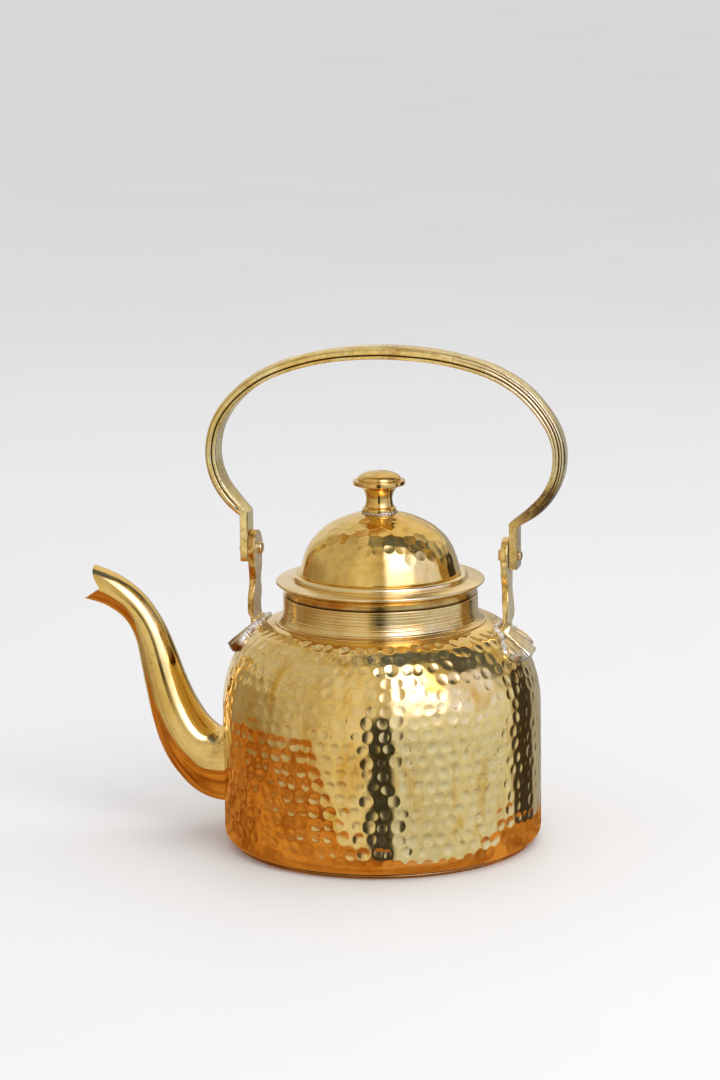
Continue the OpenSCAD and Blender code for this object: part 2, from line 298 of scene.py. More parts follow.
def make_body():
    """The wall and the shoulder, beaten in one go and parted at the seam."""
    N, M = 800, 200
    line = dense(wall_line(0.0), 0.25)
    _, _, full = resample(line, np.array([0.0]))
    total = full[-1]
    p = np.array(line)
    seam = float(full[np.argmin(np.abs(p[:, 1] - SHOULDER_Z))])
    s = np.concatenate([np.linspace(0, seam, 107), np.linspace(seam, total, 98)[1:]])
    parting = 106
    q, normal, _ = resample(line, s)
    q[parting] = (BODY_R, SHOULDER_Z)
    turns = np.arange(N) * 2 * math.pi / N
    g = np.random.default_rng(5)
    marks = []
    # rows run round the pot from the smooth ring under the neck to the foot
    pitch = 5.7
    top = float(np.interp(-51.9, -q[parting:, 0], s[parting:]))
    up, down = int((top - seam) / pitch), int((seam - 4.6) / pitch)
    for i in range(-down, up + 1):
        si = seam + (i + 0.5) * pitch
        if si > top + 0.4:
            continue
        ri = float(np.interp(si, s, q[:, 0]))
        count = int(round(2 * math.pi * ri / 6.2))
        shift = g.uniform(0, 1)
        slack = 0.22 if i in (-1, 0) else 0.95
        sway = [(g.integers(2, 9), g.uniform(0.05, 0.3), g.uniform(0, 6.28)) for _ in range(3)]
        for j in range(count):
            tj = (j + shift + g.normal(0, 0.11)) * 2 * math.pi / count
            sj = si + float(np.clip(g.normal(0, 0.40) + sum(b * math.sin(k * tj + c) for k, b, c in sway), -slack, slack))
            rj = float(np.interp(sj, s, q[:, 0]))
            zj = float(np.interp(sj, s, q[:, 1]))
            x, y = rj * math.cos(tj), rj * math.sin(tj)
            if x < 0 and math.hypot(y, zj - SPOUT_Z) < 13.0:
                continue  # under the root of the spout
            a = min(g.normal(2.55, 0.22), 2.55 if i in (-1, 0) else 3.1)
            h = 0.205 * (a / 2.55) ** 2 * g.uniform(0.55, 1.35) * (1.0 + 0.55 * min(1.0, max(0.0, (i - 2) / 3)))
            marks.append((sj, tj, rj, a, h, g.uniform(0.88, 1.13), g.uniform(0, 3.14)))
    deep = dents(s, q, turns, marks)
    # plain bands: none of it on the seat under the neck ring or under the foot
    plain = np.clip((q[:, 0] - 48.4) / 1.4, 0, 1) * np.clip((s - 0.8) / 2.0, 0, 1)
    plain[: parting] = np.clip((s[: parting] - 0.8) / 2.0, 0, 1)
    deep *= plain[:, None]
    worked = np.clip(deep / 0.10, 0, 1)
    calm = np.clip((total - s) / 6.0, 0, 1) * np.clip(s / 6.0, 0, 1)
    deep -= waves(s, turns, 0.075, 8) * calm[:, None]

    def ring(r, z, n):
        t = np.arange(n) * 2 * math.pi / n
        return np.stack([r * np.cos(t), r * np.sin(t), np.full(n, z)], 1)

    rows = []
    for i in range(len(s)):
        r = q[i, 0] - normal[i, 0] * deep[i]
        z = q[i, 1] - normal[i, 1] * deep[i] if i != parting else np.full(N, SHOULDER_Z)
        rows.append(np.stack([r * np.cos(turns), r * np.sin(turns), z], 1))
    inner = wall_line(WALL, 60)
    _, _, full = resample(inner, np.array([0.0]))
    pin = np.array(inner)
    cut_at = float(full[np.argmin(np.abs(pin[:, 1] - SHOULDER_Z))])

    def lining(a, b, n, seed):
        si = np.linspace(a, b, n)
        qi, ni, _ = resample(inner, si)
        t = np.arange(M) * 2 * math.pi / M
        soft = waves(si, t, 0.09, seed)
        soft[0] = soft[-1] = 0
        return [np.stack([(qi[k, 0] + ni[k, 0] * soft[k]) * np.cos(t), (qi[k, 0] + ni[k, 0] * soft[k]) * np.sin(t),
                          qi[k, 1] + ni[k, 1] * soft[k]], 1) for k in range(n)]

    # lower sheet: turned-in foot, wall, seam, lining
    low = [ring(62.0, BASE_T, M), ring(63.2, BASE_T, M), ring(64.2, BASE_T, 2 * M)] + rows[: parting + 1] + \
        [ring(BODY_R - 0.55, SHOULDER_Z, 2 * M), ring(BODY_R - 0.95, SHOULDER_Z, M)] + lining(cut_at, 0, 26, 21) + [ring(62.0, BASE_T + WALL, M)]
    flat = lambda rs: [np.zeros(len(r)) for r in rs]
    wall = shell("body_hammered", low, [len(r) for r in low], 40,
                 flat(low[:3]) + [worked[i] for i in range(parting + 1)] + flat(low[parting + 4:]))
    # upper sheet: seam, shoulder, flat seat, lining
    tail = [ring(46.2, SEAT_Z, 2 * M), ring(45.0, SEAT_Z, M), ring(NECK_R, SEAT_Z, M), ring(NECK_R, SEAT_Z - WALL, M)] + lining(full[-1], cut_at, 24, 22)
    lead = [ring(BODY_R - 0.95, SHOULDER_Z, M), ring(BODY_R - 0.55, SHOULDER_Z, 2 * M)]
    high = lead + rows[parting:] + tail
    cap = shell("shoulder_hammered", high, [len(r) for r in high], 40,
                flat(lead) + [worked[i] for i in range(parting, len(s))] + flat(tail))
    # strainer: one hole, a ring of six and a ring of twelve
    verts, fc = [], []
    for reach, number in ((0.0, 1), (6.4, 6), (12.6, 12)):
        for i in range(number):
            t = 2 * math.pi * i / number
            cy, cz = reach * math.cos(t), SPOUT_Z + reach * math.sin(t)
            tube = [[(x, cy + 2 * math.cos(a), cz + 2 * math.sin(a)) for a in np.arange(28) * 2 * math.pi / 28] for x in (-76.0, -55.0)]
            v, f = skin(tube)
            fc += [tuple(k + len(verts) for k in face) for face in f]
            verts += v
    holes = new_object("holes", verts, fc)
    outward(holes)
    before = np.concatenate(low) * MM
    values = np.concatenate(flat(low[:3]) + [worked[i] for i in range(parting + 1)] + flat(low[parting + 4:]))
    cut(wall, [holes], 40)
    tree = KDTree(len(before))
    for i, c in enumerate(before):
        tree.insert(c, i)
    tree.balance()
    near = np.array([values[tree.find(v.co)[1]] for v in wall.data.vertices], np.float32)
    dent = wall.data.attributes.get("dent") or wall.data.attributes.new("dent", "FLOAT", "POINT")
    dent.data.foreach_set("value", near)
    return wall, cap


def make_dome():
    N = 512
    end = math.acos(KNOB_SEAT / DOME_R)
    line = [(DOME_R, LID_Z + 7)] + [(DOME_R * math.cos(t), DOME_Z + DOME_H * math.sin(t)) for t in np.linspace(0, end, 200)]

    def lean_out(z):
        # the wall stands out a little towards the bead and in a little above it
        u = z - (LID_Z + 9.6)
        if u < 0:
            return 0.44 * max(0.0, 1 + u / 0.7)
        if u < 7:
            return 0.44 - 0.88 * (1 - (1 - u / 7) ** 2.3)
        k = min((u - 7) / 12, 1.0)
        return -0.44 * (1 - k * k * (3 - 2 * k))

    line = np.array([(r + lean_out(z), z) for r, z in dense(line, 0.2)])
    _, _, full = resample(line, np.array([0.0]))
    total = full[-1]
    s = np.linspace(0, total, int(total / 0.42))
    q, normal, _ = resample(line, s)
    turns = np.arange(N) * 2 * math.pi / N
    g = np.random.default_rng(31)
    marks = []
    for i in range(8):
        si = total - 2.5 - 4.5 * i
        ri = float(np.interp(si, s, q[:, 0]))
        count = int(round(2 * math.pi * ri / 5.3))
        shift = g.uniform(0, 1)
        for j in range(count):
            sj = si + g.normal(0, 0.55)
            tj = (j + shift + g.normal(0, 0.1)) * 2 * math.pi / count
            # the marks reach lower on one half than on the other
            lean = 0.5 + 0.5 * math.cos(tj - math.radians(-12.0))
            if i > 2.7 + 4.7 * lean + g.normal(0, 0.45):
                continue
            rj = float(np.interp(sj, s, q[:, 0]))
            close = i < 5
            a = g.normal(3.5, 0.22) if close else g.normal(2.5, 0.2)
            h = (0.24, 0.28, 0.28, 0.26, 0.23, 0.21, 0.18, 0.15)[i] * g.uniform(0.75, 1.2)
            marks.append((sj, tj, rj, a, h, g.uniform(0.92, 1.08), g.uniform(0, 3.14)))
    deep = dents(s, q, turns, marks, 0.02, 14)
    deep *= np.clip((total - s) / 1.0, 0, 1)[:, None]
    worked = np.clip(deep / 0.10, 0, 1)
    deep -= waves(s, turns, 0.035, 12, 5) * np.clip(s / 8, 0, 1)[:, None] * np.clip((total - s) / 4, 0, 1)[:, None]
    rings, marked = [], []
    for i in range(len(s)):
        r, z = q[i, 0] - normal[i, 0] * deep[i], q[i, 1] - normal[i, 1] * deep[i]
        rings.append(np.stack([r * np.cos(turns), r * np.sin(turns), z], 1))
        marked.append(worked[i])

    def ring(r, z, n=N):
        t = np.arange(n) * 2 * math.pi / n
        rings.append(np.stack([r * np.cos(t), r * np.sin(t), np.full(n, z)], 1))
        marked.append(np.zeros(n))

    ring(5.0, KNOB_Z, N // 2)
    ring(3.05, KNOB_Z, N // 4)
    ring(3.05, KNOB_Z - DOME_WALL, N // 4)
    ring(5.0, KNOB_Z - DOME_WALL, N // 4)
    a, b = DOME_R - DOME_WALL, DOME_H - DOME_WALL
    ring(KNOB_SEAT, KNOB_Z - DOME_WALL, N // 4)
    for t in np.linspace(math.acos(KNOB_SEAT / a) - 0.03, 0, 34):
        ring(a * math.cos(t), DOME_Z + b * math.sin(t), N // 4)
    ring(a, LID_Z + 7, N // 4)
    ring(DOME_R - 0.5, LID_Z + 7, N // 2)
    return shell("lid_dome_hammered", rings, [len(r) for r in rings], 40, marked)


# ---------------------------------------------------------------- turned pieces
def make_base():
    r = BODY_R - 4.3
    under = [(0.0, 0.35), (14.0, 0.35), (16.0, 0.32), (22.0, 0.3), (40.0, 0.22), (52.0, 0.12), (57.0, 0.02), (58.5, 0.0), (r - 0.7, 0.0)]
    edge = [(r - 0.25, 0.12), (r - 0.05, 0.35), (r, 0.6), (r, BASE_T - 0.35), (r - 0.1, BASE_T - 0.12), (r - 0.4, BASE_T)]
    low = tooled(dense(under, 0.45), 0.02, 3, 0.9)
    low[0] = (0.0, 0.35)
    return new_object("base_turned", *revolve(low + edge + [(40.0, BASE_T), (0.0, BASE_T)], 256), 35)


def make_neck():
    foot = [(NECK_R + 5.1, SEAT_Z), (NECK_R + 5.25, SEAT_Z + 0.15), (NECK_R + 5.25, SEAT_Z + 0.4), (NECK_R + 5.1, SEAT_Z + 0.5)]
    cove = [(NECK_R + 1.6 + 3.5 * (1 - math.sin(t)), SEAT_Z + 0.45 + 5.4 * (1 - math.cos(t))) for t in np.radians(np.linspace(4, 84, 26))]
    wall = [(NECK_R + 1.6, SEAT_Z + 6), (NECK_R + 1.62, SEAT_Z + 9), (NECK_R + 1.6, NECK_TOP - 0.6)]
    marked = tooled(dense(cove + wall, 0.13), 0.034, 4, 0.42)
    lip = arc(NECK_R + 1.2, NECK_TOP - 0.4, 0.4, 10, 90, 6) + arc(NECK_R + 0.3, NECK_TOP - 0.3, 0.3, 90, 180, 5)
    inner = tooled(dense([(NECK_R, NECK_TOP - 0.35), (NECK_R, SEAT_Z + 0.05)], 0.4), 0.01, 6, 0.8)
    return new_object("neck_turned", *revolve(foot + marked + lip + inner + [(NECK_R, SEAT_Z)], 288), 35)


def make_flange():
    low = [(NECK_R - 0.8, LID_Z), (NECK_R + 0.9, LID_Z), (NECK_R + 1.15, LID_Z + 0.25), (NECK_R + 1.25, LID_Z + 1.3)]
    cove = [(NECK_R + 1.3 + (RIM_R - NECK_R - 1.95) * (1 - math.cos(t)), LID_Z + 1.45 + 3.15 * math.sin(t))
            for t in np.radians(np.linspace(6, 80, 22))]
    cove = tooled(dense(cove, 0.2), 0.014, 9, 0.5)
    groove = [(RIM_R - 0.75, LID_Z + 4.75), (RIM_R - 0.85, LID_Z + 4.86), (RIM_R - 0.7, LID_Z + 4.98)]
    rim = arc(RIM_R - 0.62, LID_Z + 5.62, 0.62, -75, 80, 16)
    top = [(RIM_R - 1.0, LID_Z + 6.27), (RIM_R - 2.5, LID_Z + 6.6), (RIM_R - 5, LID_Z + 6.96), (DOME_R + 3.75, LID_Z + 7.12)]
    top = tooled(dense(top, 0.14), 0.022, 10, 0.45)
    bead = arc(DOME_R + 2.3, LID_Z + 7.8, 1.42, -28, 112, 22) + [(DOME_R + 1.2, LID_Z + 8.98), (DOME_R + 0.5, LID_Z + 8.9), (DOME_R + 0.05, LID_Z + 8.7)]
    back = [(DOME_R + 0.02, LID_Z + 7), (DOME_R - 1.6, LID_Z + 7), (DOME_R - 1.6, LID_Z + 5.4), (NECK_R - 3, LID_Z + 3.4), (NECK_R - 0.8, LID_Z + 3.4)]
    return new_object("flange_turned", *revolve(low + cove + groove + rim + top + bead + back, 288), 38)


def make_plug():
    out = [(NECK_R - 2, LID_Z - 9), (NECK_R - 1.3, LID_Z - 9), (NECK_R - 1.0, LID_Z - 8.8), (NECK_R - 0.82, LID_Z - 8.3)]
    wall = tooled(dense([(NECK_R - 0.8, LID_Z - 8.1), (NECK_R - 0.8, LID_Z + 3.3)], 0.25), 0.008, 14, 0.7)
    inner = tooled(dense([(NECK_R - 2, LID_Z + 3.4), (NECK_R - 2, LID_Z - 8.9)], 0.3), 0.008, 15, 0.7)
    return new_object("plug_turned", *revolve(out + wall + [(NECK_R - 0.8, LID_Z + 3.4)] + inner, 240), 35)


def make_knob():
    r, k = KNOB_R, KNOB_SEAT
    low = [(0.0, -3.8), (1.6, -3.76), (2.6, -3.6), (3.5, -3.3), (4.2, -2.95), (4.6, -2.2), (3.0, -2.2), (3.0, 0.0), (k - 0.1, 0.0)]
    foot = [(k - 0.05, 0.3), (k - 0.05, 1.0), (k + 0.1, 1.12), (k + 0.14, 1.4), (k + 0.14, 1.75), (k, 1.95), (k - 0.2, 2.02), (k - 0.32, 2.14),
            (k - 0.26, 2.32), (k - 0.5, 2.52), (k - 0.95, 2.68)]
    stem = [(5.8 + 0.052 * abs(z - 6) ** 2.1 * (1.3 if z > 6 else 1.15), z) for z in np.linspace(2.9, 10.8, 40)]
    stem = tooled(stem, 0.012, 18, 0.8)
    flare = [(r - 2.6, 11.55), (r - 1.6, 11.95), (r - 0.8, 12.25)]
    disc = arc(r - 0.42, 12.78, 0.42, -80, 0, 7) + arc(r - 0.42, 14.0, 0.42, 0, 88, 7) + [(r - 1.2, 14.44), (r - 1.62, 14.46), (r - 1.95, 14.4), (r - 2.05, 14.55), (r - 1.98, 14.8)]
    cap = [((r - 1.9) * math.cos(t) ** 0.82, 15.0 + 3.35 * math.sin(t) ** 1.2) for t in np.radians(np.linspace(5, 88, 40))]
    prof = [(a, b + KNOB_Z) for a, b in low + foot + stem + flare + disc + cap + [(0.0, 18.36)]]
    return new_object("knob_turned", *revolve(prof, 192), 34)


def make_washer():
    z = KNOB_Z - DOME_WALL - 1
    prof = [(3.05, z), (6.5, z), (6.75, z + 0.12), (6.8, z + 0.35), (6.8, z + 0.8), (6.7, z + 1.0), (3.05, z + 1.0)]
    return new_object("washer_turned", *revolve(prof, 96), 35)


def make_rivet(name, sign):
    head = TAB_X + TAB_T + 0.2
    prof = [(0.0, EAR_X - 2.2), (1.0, EAR_X - 2.19), (1.7, EAR_X - 2.14), (2.15, EAR_X - 2.02), (2.42, EAR_X - 1.8), (2.58, EAR_X - 1.45),
            (2.66, EAR_X - 0.7), (2.7, EAR_X), (RIVET_R, EAR_X), (RIVET_R, head), (2.2, head), (2.22, head + 0.25), (2.15, head + 0.6),
            (1.95, head + 0.9), (1.6, head + 1.08), (1.2, head + 1.18), (0.7, head + 1.25), (0.0, head + 1.27)]
    verts, faces = revolve(prof, 56)
    g = np.random.default_rng(44 + sign)
    flats = [(g.uniform(0, 6.28), g.uniform(0.8, 2.6), g.uniform(0.10, 0.22)) for _ in range(9)]
    out = []
    for x, y, z in verts:
        # small flats left by peening
        if z < EAR_X - 0.3 or z > head + 0.3:
            for t, d, h in flats:
                w = math.exp(-((x - d * math.cos(t)) ** 2 + (y - d * math.sin(t)) ** 2) / 0.9)
                z += h * w * (0.45 if z < EAR_X else -0.45)
                x, y = x * (1 - 0.02 * w), y * (1 - 0.02 * w)
        out.append((sign * z, y, PIVOT_Z - sign * x))
    ob = new_object(name, out, faces, 50)
    outward(ob)
    return ob


# ---------------------------------------------------------------- spout
SPOUT = [(-60, 31, 34.5), (-74, 31, 33), (-83, 36, 29), (-89.6, 44, 25.6), (-95, 55.4, 22), (-98.8, 67, 19.2), (-101.8, 78, 17.2),
         (-104.8, 88, 15.2), (-108.6, 95.8, 14.2), (-113.6, 102.2, 14.2), (-120.3, 107.2, 14.8), (-127, 110.3, 15.4), (-140, 114, 16.6)]


def make_spout():
    def tube(stations, less, n=80):
        line = spline(stations, 9)
        rings = []
        for i in range(len(line)):
            d = side(line[:, :2], i, False)
            r = line[i, 2] / 2 - less
            rings.append([(line[i, 0] + d[0] * r * math.cos(a), -r * math.sin(a), line[i, 1] + d[1] * r * math.cos(a))
                          for a in np.arange(n) * 2 * math.pi / n])
        return skin(rings)

    ob = new_object("spout_cast", *tube(SPOUT, 0.0))
    outward(ob)
    bore = new_object("bore", *tube([(-50, 31, 34.5)] + SPOUT + [(-152, 117.5, 17.6)], 1.3, 64))
    outward(bore)
    post = new_object("post", *skin([[((BODY_R - 0.3) * math.cos(a), (BODY_R - 0.3) * math.sin(a), z) for a in np.arange(360) * math.pi / 180]
                                     for z in (-5.0, 90.0)]))
    outward(post)
    lip = [(-132, 132)] + spline([(-130.8, 118.8), (-130.1, 116.4), (-128.9, 114.0), (-127.6, 112.0), (-126.6, 110.6)], 4).tolist() + \
        spline([(-126.6, 110.6), (-128.6, 109.2), (-130.8, 107.75), (-133, 106.3), (-135.2, 105.0), (-138, 103.6)], 4).tolist()[1:] + [(-165, 94), (-165, 132)]
    knife = new_object("knife", *skin([[(x, y, z) for x, z in lip] for y in (-20.0, 20.0)]))
    outward(knife)
    cut(ob, [bore, post, knife], 38)
    return ob


# ---------------------------------------------------------------- handle
BOW = [(-TAB_X, 16.5), (-63.5, 22), (-69, 29.5), (-72, 38), (-72.2, 46), (-70, 54.5), (-65, 62.5), (-57, 70.2), (-47, 76.4), (-34, 81.2),
       (-18, 84.6), (2, 86), (22, 85), (38, 82.2), (51, 78), (62, 71.5), (70, 63.5), (75.5, 55), (77.8, 46.5), (77, 37), (73, 28.5),
       (66.5, 21.5), (TAB_X, 15)]


# the reeds: each groove's (place along the bow, distance from the inner edge, depth)
REEDS = (
    ((0.0, 1.25, 0.48), (0.50, 1.35, 0.48), (0.64, 1.45, 0.42), (0.72, 1.15, 0.32), (0.80, 0.85, 0.22), (0.87, 0.75, 0.0)),
    ((0.52, 3.4, 0.0), (0.60, 3.2, 0.22), (0.66, 2.95, 0.38), (0.80, 2.5, 0.44), (0.885, 2.4, 0.36), (0.925, 2.4, 0.0)),
    ((0.40, 6.2, 0.0), (0.50, 6.0, 0.18), (0.57, 5.3, 0.44), (0.64, 4.6, 0.52), (0.80, 3.75, 0.52), (0.885, 3.6, 0.42), (0.925, 3.5, 0.0)),
    ((0.0, 3.8, 0.20), (0.46, 3.8, 0.20), (0.54, 3.8, 0.0)),
    ((0.0, 5.6, 0.13), (0.38, 5.6, 0.13), (0.44, 5.7, 0.0)),
)


def bail_section(k, along):
    """Outline [across, outwards] and how deep each point lies in a groove.
    k = 0 at the flat ends, 1 along the reeded bow; along = 0 at the spout's side, 1 at the far side."""
    w = (11 + 1.5 * k) / 2
    t = TAB_T + 1.8 * k
    # one half from the inner edge round to the middle of the outer side
    flat = [(w, 0.42), (w, t - 0.45), (w - 0.13, t - 0.13), (w - 0.45, t), (0.0, t)]
    rise = 0.60 * t
    bow = [(w, 0.42)] + [(w * math.cos(a) ** 0.72, rise + (t - rise) * math.sin(a) ** 0.95) for a in np.radians(np.linspace(0, 90, 90))]
    a, b = (resample(dense(h, 0.05), np.linspace(0, 1, 110) * length(h))[0] for h in (bow, flat))
    p = a * k + b * (1 - k)
    d = np.gradient(p, axis=0)
    d /= np.linalg.norm(d, axis=1)[:, None]
    s = np.concatenate([[0], np.cumsum(np.linalg.norm(np.diff(p, axis=0), axis=1))])
    cutin, lips = np.zeros(len(s)), np.zeros(len(s))
    for track in REEDS:
        way, place, depth = zip(*track)
        at, deep = float(np.interp(along, way, place)), float(np.interp(along, way, depth))
        cutin += deep * np.exp(-((s - at) / 0.31) ** 2)
        # the edges of a groove are rolled up into rounded ribs
        lips += 0.30 * deep * (np.exp(-((s - at - 0.85) / 0.45) ** 2) + np.exp(-((s - at + 0.85) / 0.45) ** 2))
    p -= np.stack([d[:, 1], -d[:, 0]], 1) * ((cutin - lips) * k * k)[:, None]
    right = [tuple(v) for v in p]
    top = [(-x, y) for x, y in right[:-1]] + right[::-1]
    low = [(w - 0.12, 0.13), (w - 0.42, 0.0)] + [(w * f, 0.0) for f in (0.6, 0.2, -0.2, -0.6)] + [(-w + 0.42, 0.0), (-w + 0.12, 0.13)]
    dark = cutin * k / 0.40
    return top + low, list(dark[:-1]) + list(dark[::-1]) + [0.0] * len(low)


def length(points):
    return sum(math.dist(a, b) for a, b in zip(points, points[1:]))


def make_handle():
    steps = 8
    bow = spline(BOW, steps)
    ends = lambda x: [np.array((x, z)) for z in (-5.5, -5.3, -4.9, 0.0, 6.0, 10.0, 13.0)]
    line = np.array(ends(-TAB_X) + list(bow) + ends(TAB_X)[::-1])
    n, lead = len(line), 7
    rings, dark = [], []
    g = np.random.default_rng(12)
    lumps = [(g.normal(size=3) * g.uniform(0.5, 1.6), g.uniform(0, 6.28)) for _ in range(9)]
    for i in range(n):
        d = side(line, i)
        u = (min(i, n - 1 - i) - lead) / steps
        k = min(1.0, max(0.0, u / 1.35))
        k = k * k * (3 - 2 * k)
        shrink = (0.90, 0.965, 1.0)[min(i, n - 1 - i)] if min(i, n - 1 - i) < 3 else 1.0
        sec, deep = bail_section(k, i / (n - 1))
        dark += deep
        # the casting is uneven along its length
        sec = [(a * (1 + 0.003 * k * sum(math.sin(d3[0] * i * 0.5 + d3[1] * a + d3[2] * b + c) for d3, c in lumps)),
                b * (1 + 0.004 * k * sum(math.sin(d3[1] * i * 0.5 + d3[2] * a + d3[0] * b + c) for d3, c in lumps))) for a, b in sec]
        rings.append([(line[i, 0] + d[0] * (b if shrink == 1 else TAB_T / 2 + (b - TAB_T / 2) * shrink), -a * shrink,
                       PIVOT_Z + line[i, 1] + d[1] * (b if shrink == 1 else TAB_T / 2 + (b - TAB_T / 2) * shrink)) for a, b in sec])
    ob = new_object("handle_reeded", *skin(rings))
    outward(ob)
    before = np.array([q for r in rings for q in r]) * MM
    pins = []
    for x in (-70.0, 50.0):
        pin = new_object("pin", *skin([[(x + dx, BORE_R * math.cos(a), PIVOT_Z + BORE_R * math.sin(a)) for a in np.arange(48) * 2 * math.pi / 48]
                                       for dx in (0.0, 20.0)]))
        outward(pin)
        pins.append(pin)
    cut(ob, pins, 40)
    tree = KDTree(len(before))
    for i, c in enumerate(before):
        tree.insert(c, i)
    tree.balance()
    dent = ob.data.attributes.get("dent") or ob.data.attributes.new("dent", "FLOAT", "POINT")
    dent.data.foreach_set("value", np.array([dark[tree.find(v.co)[1]] for v in ob.data.vertices], np.float32))
    return ob


# ---------------------------------------------------------------- ears and solder
def make_ear(name, node):
    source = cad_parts[node]
    ob = bpy.data.objects.new(name, source.data.copy())
    ob.data.name = name
    ob.data.materials.clear()
    scene.collection.objects.link(ob)
    m = ob.modifiers.new("melt", "REMESH")
    m.mode, m.voxel_size, m.adaptivity = "VOXEL", 0.00034, 0.0
    m = ob.modifiers.new("soft", "SMOOTH")
    m.factor, m.iterations = 0.5, 9
    bake_down(ob, 180)
    # cast unevenness
    n = len(ob.data.vertices)
    co = np.empty(n * 3)
    no = np.empty(n * 3)
    ob.data.vertices.foreach_get("co", co)
    ob.data.vertex_normals.foreach_get("vector", no)
    co, no = co.reshape(-1, 3), no.reshape(-1, 3)
    g = np.random.default_rng(len(name))
    wave = np.zeros(n)
    for _ in range(10):
        d = g.normal(size=3)
        d *= 2 * math.pi / (g.uniform(0.0035, 0.009) * np.linalg.norm(d))
        wave += np.sin(co @ d + g.uniform(0, 6.28))
    co = co + no * (wave * 0.000028)[:, None]
    # the plate thins a little and leans outwards towards the foot
    sign = 1.0 if co[:, 0].mean() > 0 else -1.0
    x, z = co[:, 0] * sign / MM, co[:, 2] / MM
    ease = lambda t: np.clip(t, 0, 1) ** 2 * (3 - 2 * np.clip(t, 0, 1))
    lean = ease((PIVOT_Z - 8 - z) / 20.0) * (1 - ease((x - 58.6) / 3.0)) * ease((z - 95.0) / 4.0)
    x = x + lean * (0.45 + 0.16 * (58.2 - x))
    co[:, 0] = x * sign * MM
    # low ribs run down each lobe of the foot
    y = np.abs(co[:, 1]) / MM
    on_foot = ease((SEAT_Z - 2.0 - z) / 3.0) * ease((no[:, 2] - 0.35) / 0.3) * ease((y - 6.5) / 1.5)
    co = co + no * (on_foot * 0.13 * np.sin((y - 0.35 * (x - 60)) * 2 * math.pi / 2.3))[:, None] * MM
    ob.data.vertices.foreach_set("co", co.ravel())
    ob.data.update()
    return ob


def shoulder_z(r):
    return SHOULDER_Z + SHOULDER_H * math.sqrt(max(0.0, 1 - ((r - SHOULDER_C) / SHOULDER_A) ** 2)) if r > SHOULDER_C else SHOULDER_Z + SHOULDER_H


FOOT = [(0.1, 6.8), (2.8, 8.6), (5.6, 12.6), (8, 16.4), (10.4, 18), (12.8, 17.9), (15.2, 15.8)]
TILT = math.radians(39.5)


def make_solder(name, sign):
    """Lumpy solder along the edge of an ear's foot, from lobe to lobe round its inner end."""
    g = np.random.default_rng(70 + sign)
    half = spline(FOOT, 5)
    half = half[half[:, 0] < 11.0]
    path = [(u, -y) for u, y in half[::-1]] + [(-0.1, y) for y in (-5.0, -2.5, 0.0, 2.5, 5.0)] + [(u, y) for u, y in half]
    path = np.array(dense(path, 0.95))
    n = len(path)
    way = np.gradient(path, axis=0)
    way /= np.linalg.norm(way, axis=1)[:, None]
    s = np.concatenate([[0], np.cumsum(np.linalg.norm(np.diff(path, axis=0), axis=1))])
    # drops of uneven size that have run together
    knots = np.cumsum(g.uniform(1.3, 3.2, 60)) - 3
    thick, lift, off = (np.interp(s, knots, g.uniform(a, b, 60)) for a, b in ((0.70, 1.25), (0.9, 1.35), (-0.15, 0.35)))
    along, norm = np.array([math.cos(TILT), 0, -math.sin(TILT)]), np.array([math.sin(TILT), 0, math.cos(TILT)])
    base = np.array([54.0, 0.0, SEAT_Z + 0.1])
    rings = []
    for i in range(n):
        u, y = path[i]
        a, b = -12.0, 3.0
        for _ in range(40):
            m = (a + b) / 2
            p = base + along * u + np.array([0, y, 0]) + norm * m
            if p[2] > shoulder_z(math.hypot(p[0], p[1])):
                b = m
            else:
                a = m
        out = way[i][1] * along * -1.0 + np.array([0, way[i][0], 0])
        end = min(1.0, (min(i, n - 1 - i) + 0.5) / 3.0)
        r = 1.22 * thick[i] * end
        c = p + out * off[i] + norm * 0.5
        rings.append([tuple(c + (out * r * 1.15 * math.cos(t) + norm * r * lift[i] * math.sin(t)) * g.uniform(0.84, 1.16)) for t in np.arange(8) * 2 * math.pi / 8])
    v, f = skin(rings)
    ob = new_object(name, [(sign * x, y, z) for x, y, z in v], f, 28)
    outward(ob)
    m = ob.modifiers.new("edges", "BEVEL")
    m.width, m.segments, m.limit_method = 0.00009, 2, "ANGLE"
    m.angle_limit = math.radians(18)
    bake_down(ob, 28)
    return ob


def make_knob_solder():
    """Ragged ring of solder where the knob meets the dome."""
    g = np.random.default_rng(91)
    n, rings = 160, []
    t = np.arange(n) * 2 * math.pi / n
    rag = sum(g.uniform(0.3, 1.0) * np.sin(k * t + g.uniform(0, 6.28)) for k in (3, 5, 7, 11, 17, 23, 31)) / 2.6
    grain = g.normal(0, 0.10, n)
    for a in np.linspace(0, 2 * math.pi, 14, endpoint=False):
        r = KNOB_SEAT + 0.02 + (0.48 + 0.28 * rag + grain) * math.cos(a)
        z = np.array([DOME_Z + DOME_H * math.sqrt(max(0.0, 1 - (min(x, 34.0) / DOME_R) ** 2)) for x in r]) + 0.25 + (0.62 + 0.30 * np.roll(rag, 9) + 0.5 * grain) * math.sin(a)
        rings.append(np.stack([r * np.cos(t), r * np.sin(t), z], 1))
    faces = []
    for i in range(len(rings)):
        bridge(faces, i * n, n, ((i + 1) % len(rings)) * n, n)
    ob = new_object("knob_solder", np.concatenate(rings), faces, 180)
    outward(ob)
    return ob


